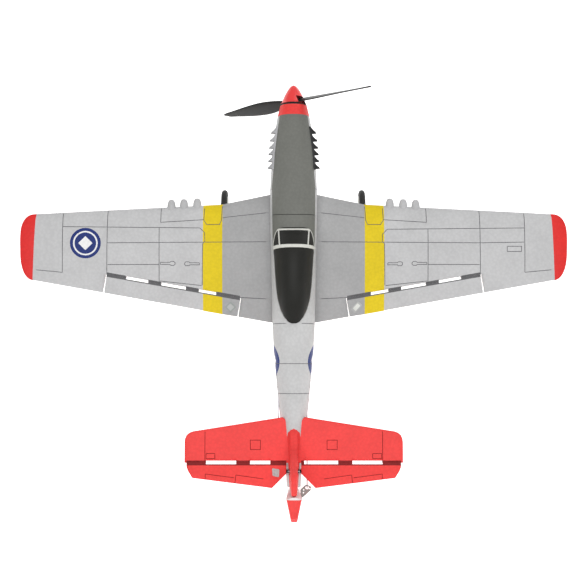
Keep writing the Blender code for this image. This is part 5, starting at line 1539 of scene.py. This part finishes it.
CAD_LOOKS = {
    "servo": ["servo_aileron_left", "servo_aileron_right", "servo_elevator", "servo_rudder"],
    "pale": ["arm_aileron_left", "arm_aileron_right", "arm_elevator", "arm_rudder", "horn_aileron_left",
             "horn_aileron_right", "horn_elevator", "spur_gear"],
    "steel": ["pushrod_aileron_left", "pushrod_aileron_right", "pushrod_elevator", "pushrod_rudder",
              "gear_leg_left", "gear_leg_right", "tail_leg", "prop_shaft", "elevator_joiner"],
    "black": ["motor_mount", "gear_mount_left", "gear_mount_right"],
    "can": ["motor"],
    "brass": ["pinion_gear"],
    "carbon": ["spar_left", "spar_right"],
    "board": ["receiver_board"],
    "cell": ["battery"],
}


def dress_cad_nodes():
    for look, names in CAD_LOOKS.items():
        for name in names:
            mesh = frame["nodes"][name].data
            mesh.materials.clear()
            mesh.materials.append(MATERIALS[look])
            mesh.polygons.foreach_set("material_index", [0] * len(mesh.polygons))


# ---------------------------------------------------------------- stage

def aim_camera():
    """Camera square above the wing, leaning four degrees towards the tail."""
    distance, lean, offset = 800.0, math.radians(4.0), 4.1
    data = bpy.data.cameras.new("camera")
    data.lens = 68.5
    data.sensor_width = 36.0
    data.clip_end = 100.0
    cam = bpy.data.objects.new("camera", data)
    bpy.context.scene.collection.objects.link(cam)
    s, c = math.sin(lean), math.cos(lean)
    place = Matrix(((-1, 0, 0, offset * MM), (0, -c, s, distance * s * MM), (0, s, c, distance * c * MM),
                    (0, 0, 0, 1)))
    cam.matrix_world = PLACE @ place
    bpy.context.scene.camera = cam


def soft_light(name, offset, size, watts):
    data = bpy.data.lights.new(name, 'AREA')
    data.shape = 'DISK'
    data.size = size
    data.energy = watts
    lamp = bpy.data.objects.new(name, data)
    bpy.context.scene.collection.objects.link(lamp)
    lamp.location = Vector(offset)
    lamp.rotation_euler = Vector(offset).to_track_quat('Z', 'Y').to_euler()


def light_and_floor():
    """A white sweep with soft light all round, a little stronger from above the tail and port."""
    world = bpy.data.worlds.new("studio")
    world.use_nodes = True
    back = world.node_tree.nodes["Background"]
    back.inputs["Color"].default_value = (1.0, 1.0, 1.0, 1.0)
    back.inputs["Strength"].default_value = 0.40
    bpy.context.scene.world = world
    soft_light("key", (0.04, 0.30, 1.1), 0.9, 8.0)
    soft_light("fill", (-0.5, -0.7, 0.8), 0.8, 2.0)
    bpy.ops.mesh.primitive_plane_add(size=60.0, location=(0, 0, 0))
    floor = bpy.context.object
    floor.name = "floor"
    mat, tree, shader = shader_of("pale_floor", 0.9)
    where = add_node(tree, "ShaderNodeTexCoord").outputs["Object"]
    cloud = add_node(tree, "ShaderNodeTexNoise", {"Vector": where, "Scale": 3.0, "Detail": 2.0})
    tone = ramp(tree, cloud.outputs["Fac"], [(0.3, (0.93, 0.93, 0.93)), (0.7, (0.97, 0.97, 0.97))])
    tree.links.new(tone, shader.inputs["Base Color"])
    shader.inputs["Emission Color"].default_value = (1.0, 1.0, 1.0, 1.0)
    shader.inputs["Emission Strength"].default_value = 0.85
    floor.data.materials.append(mat)


def build():
    dress_cad_nodes()
    fuselage()
    canopy_glass()
    canopy_frames()
    canopy_sill_reflection_strips()
    propeller()
    spinner()
    stabilizer()
    fin()
    rudder()
    elevator_hinges()
    elevator_horn_plate()
    joiner_bushes()
    rudder_horn()
    rudder_hinges()
    belly_scoop()
    hatch()
    for side, word in SIDES:
        wing(side, word)
        gun_fairings(side, word)
        aileron(side, word)
        hinge_strips(side, word)
        horn_back_plate(side, word)
        exhaust(side, word)
        elevator(side, word)
        wheel("wheel_%s_tyre" % word, "wheel_" + word, "main_wheel_" + word, WHEEL_FACET, 5.0)
    wheel("tail_wheel_tyre", "tail_wheel", "tail_wheel_group", TAIL_FACET, 3.0)


build()
light_and_floor()
aim_camera()
bpy.context.scene.view_settings.view_transform = 'Standard'
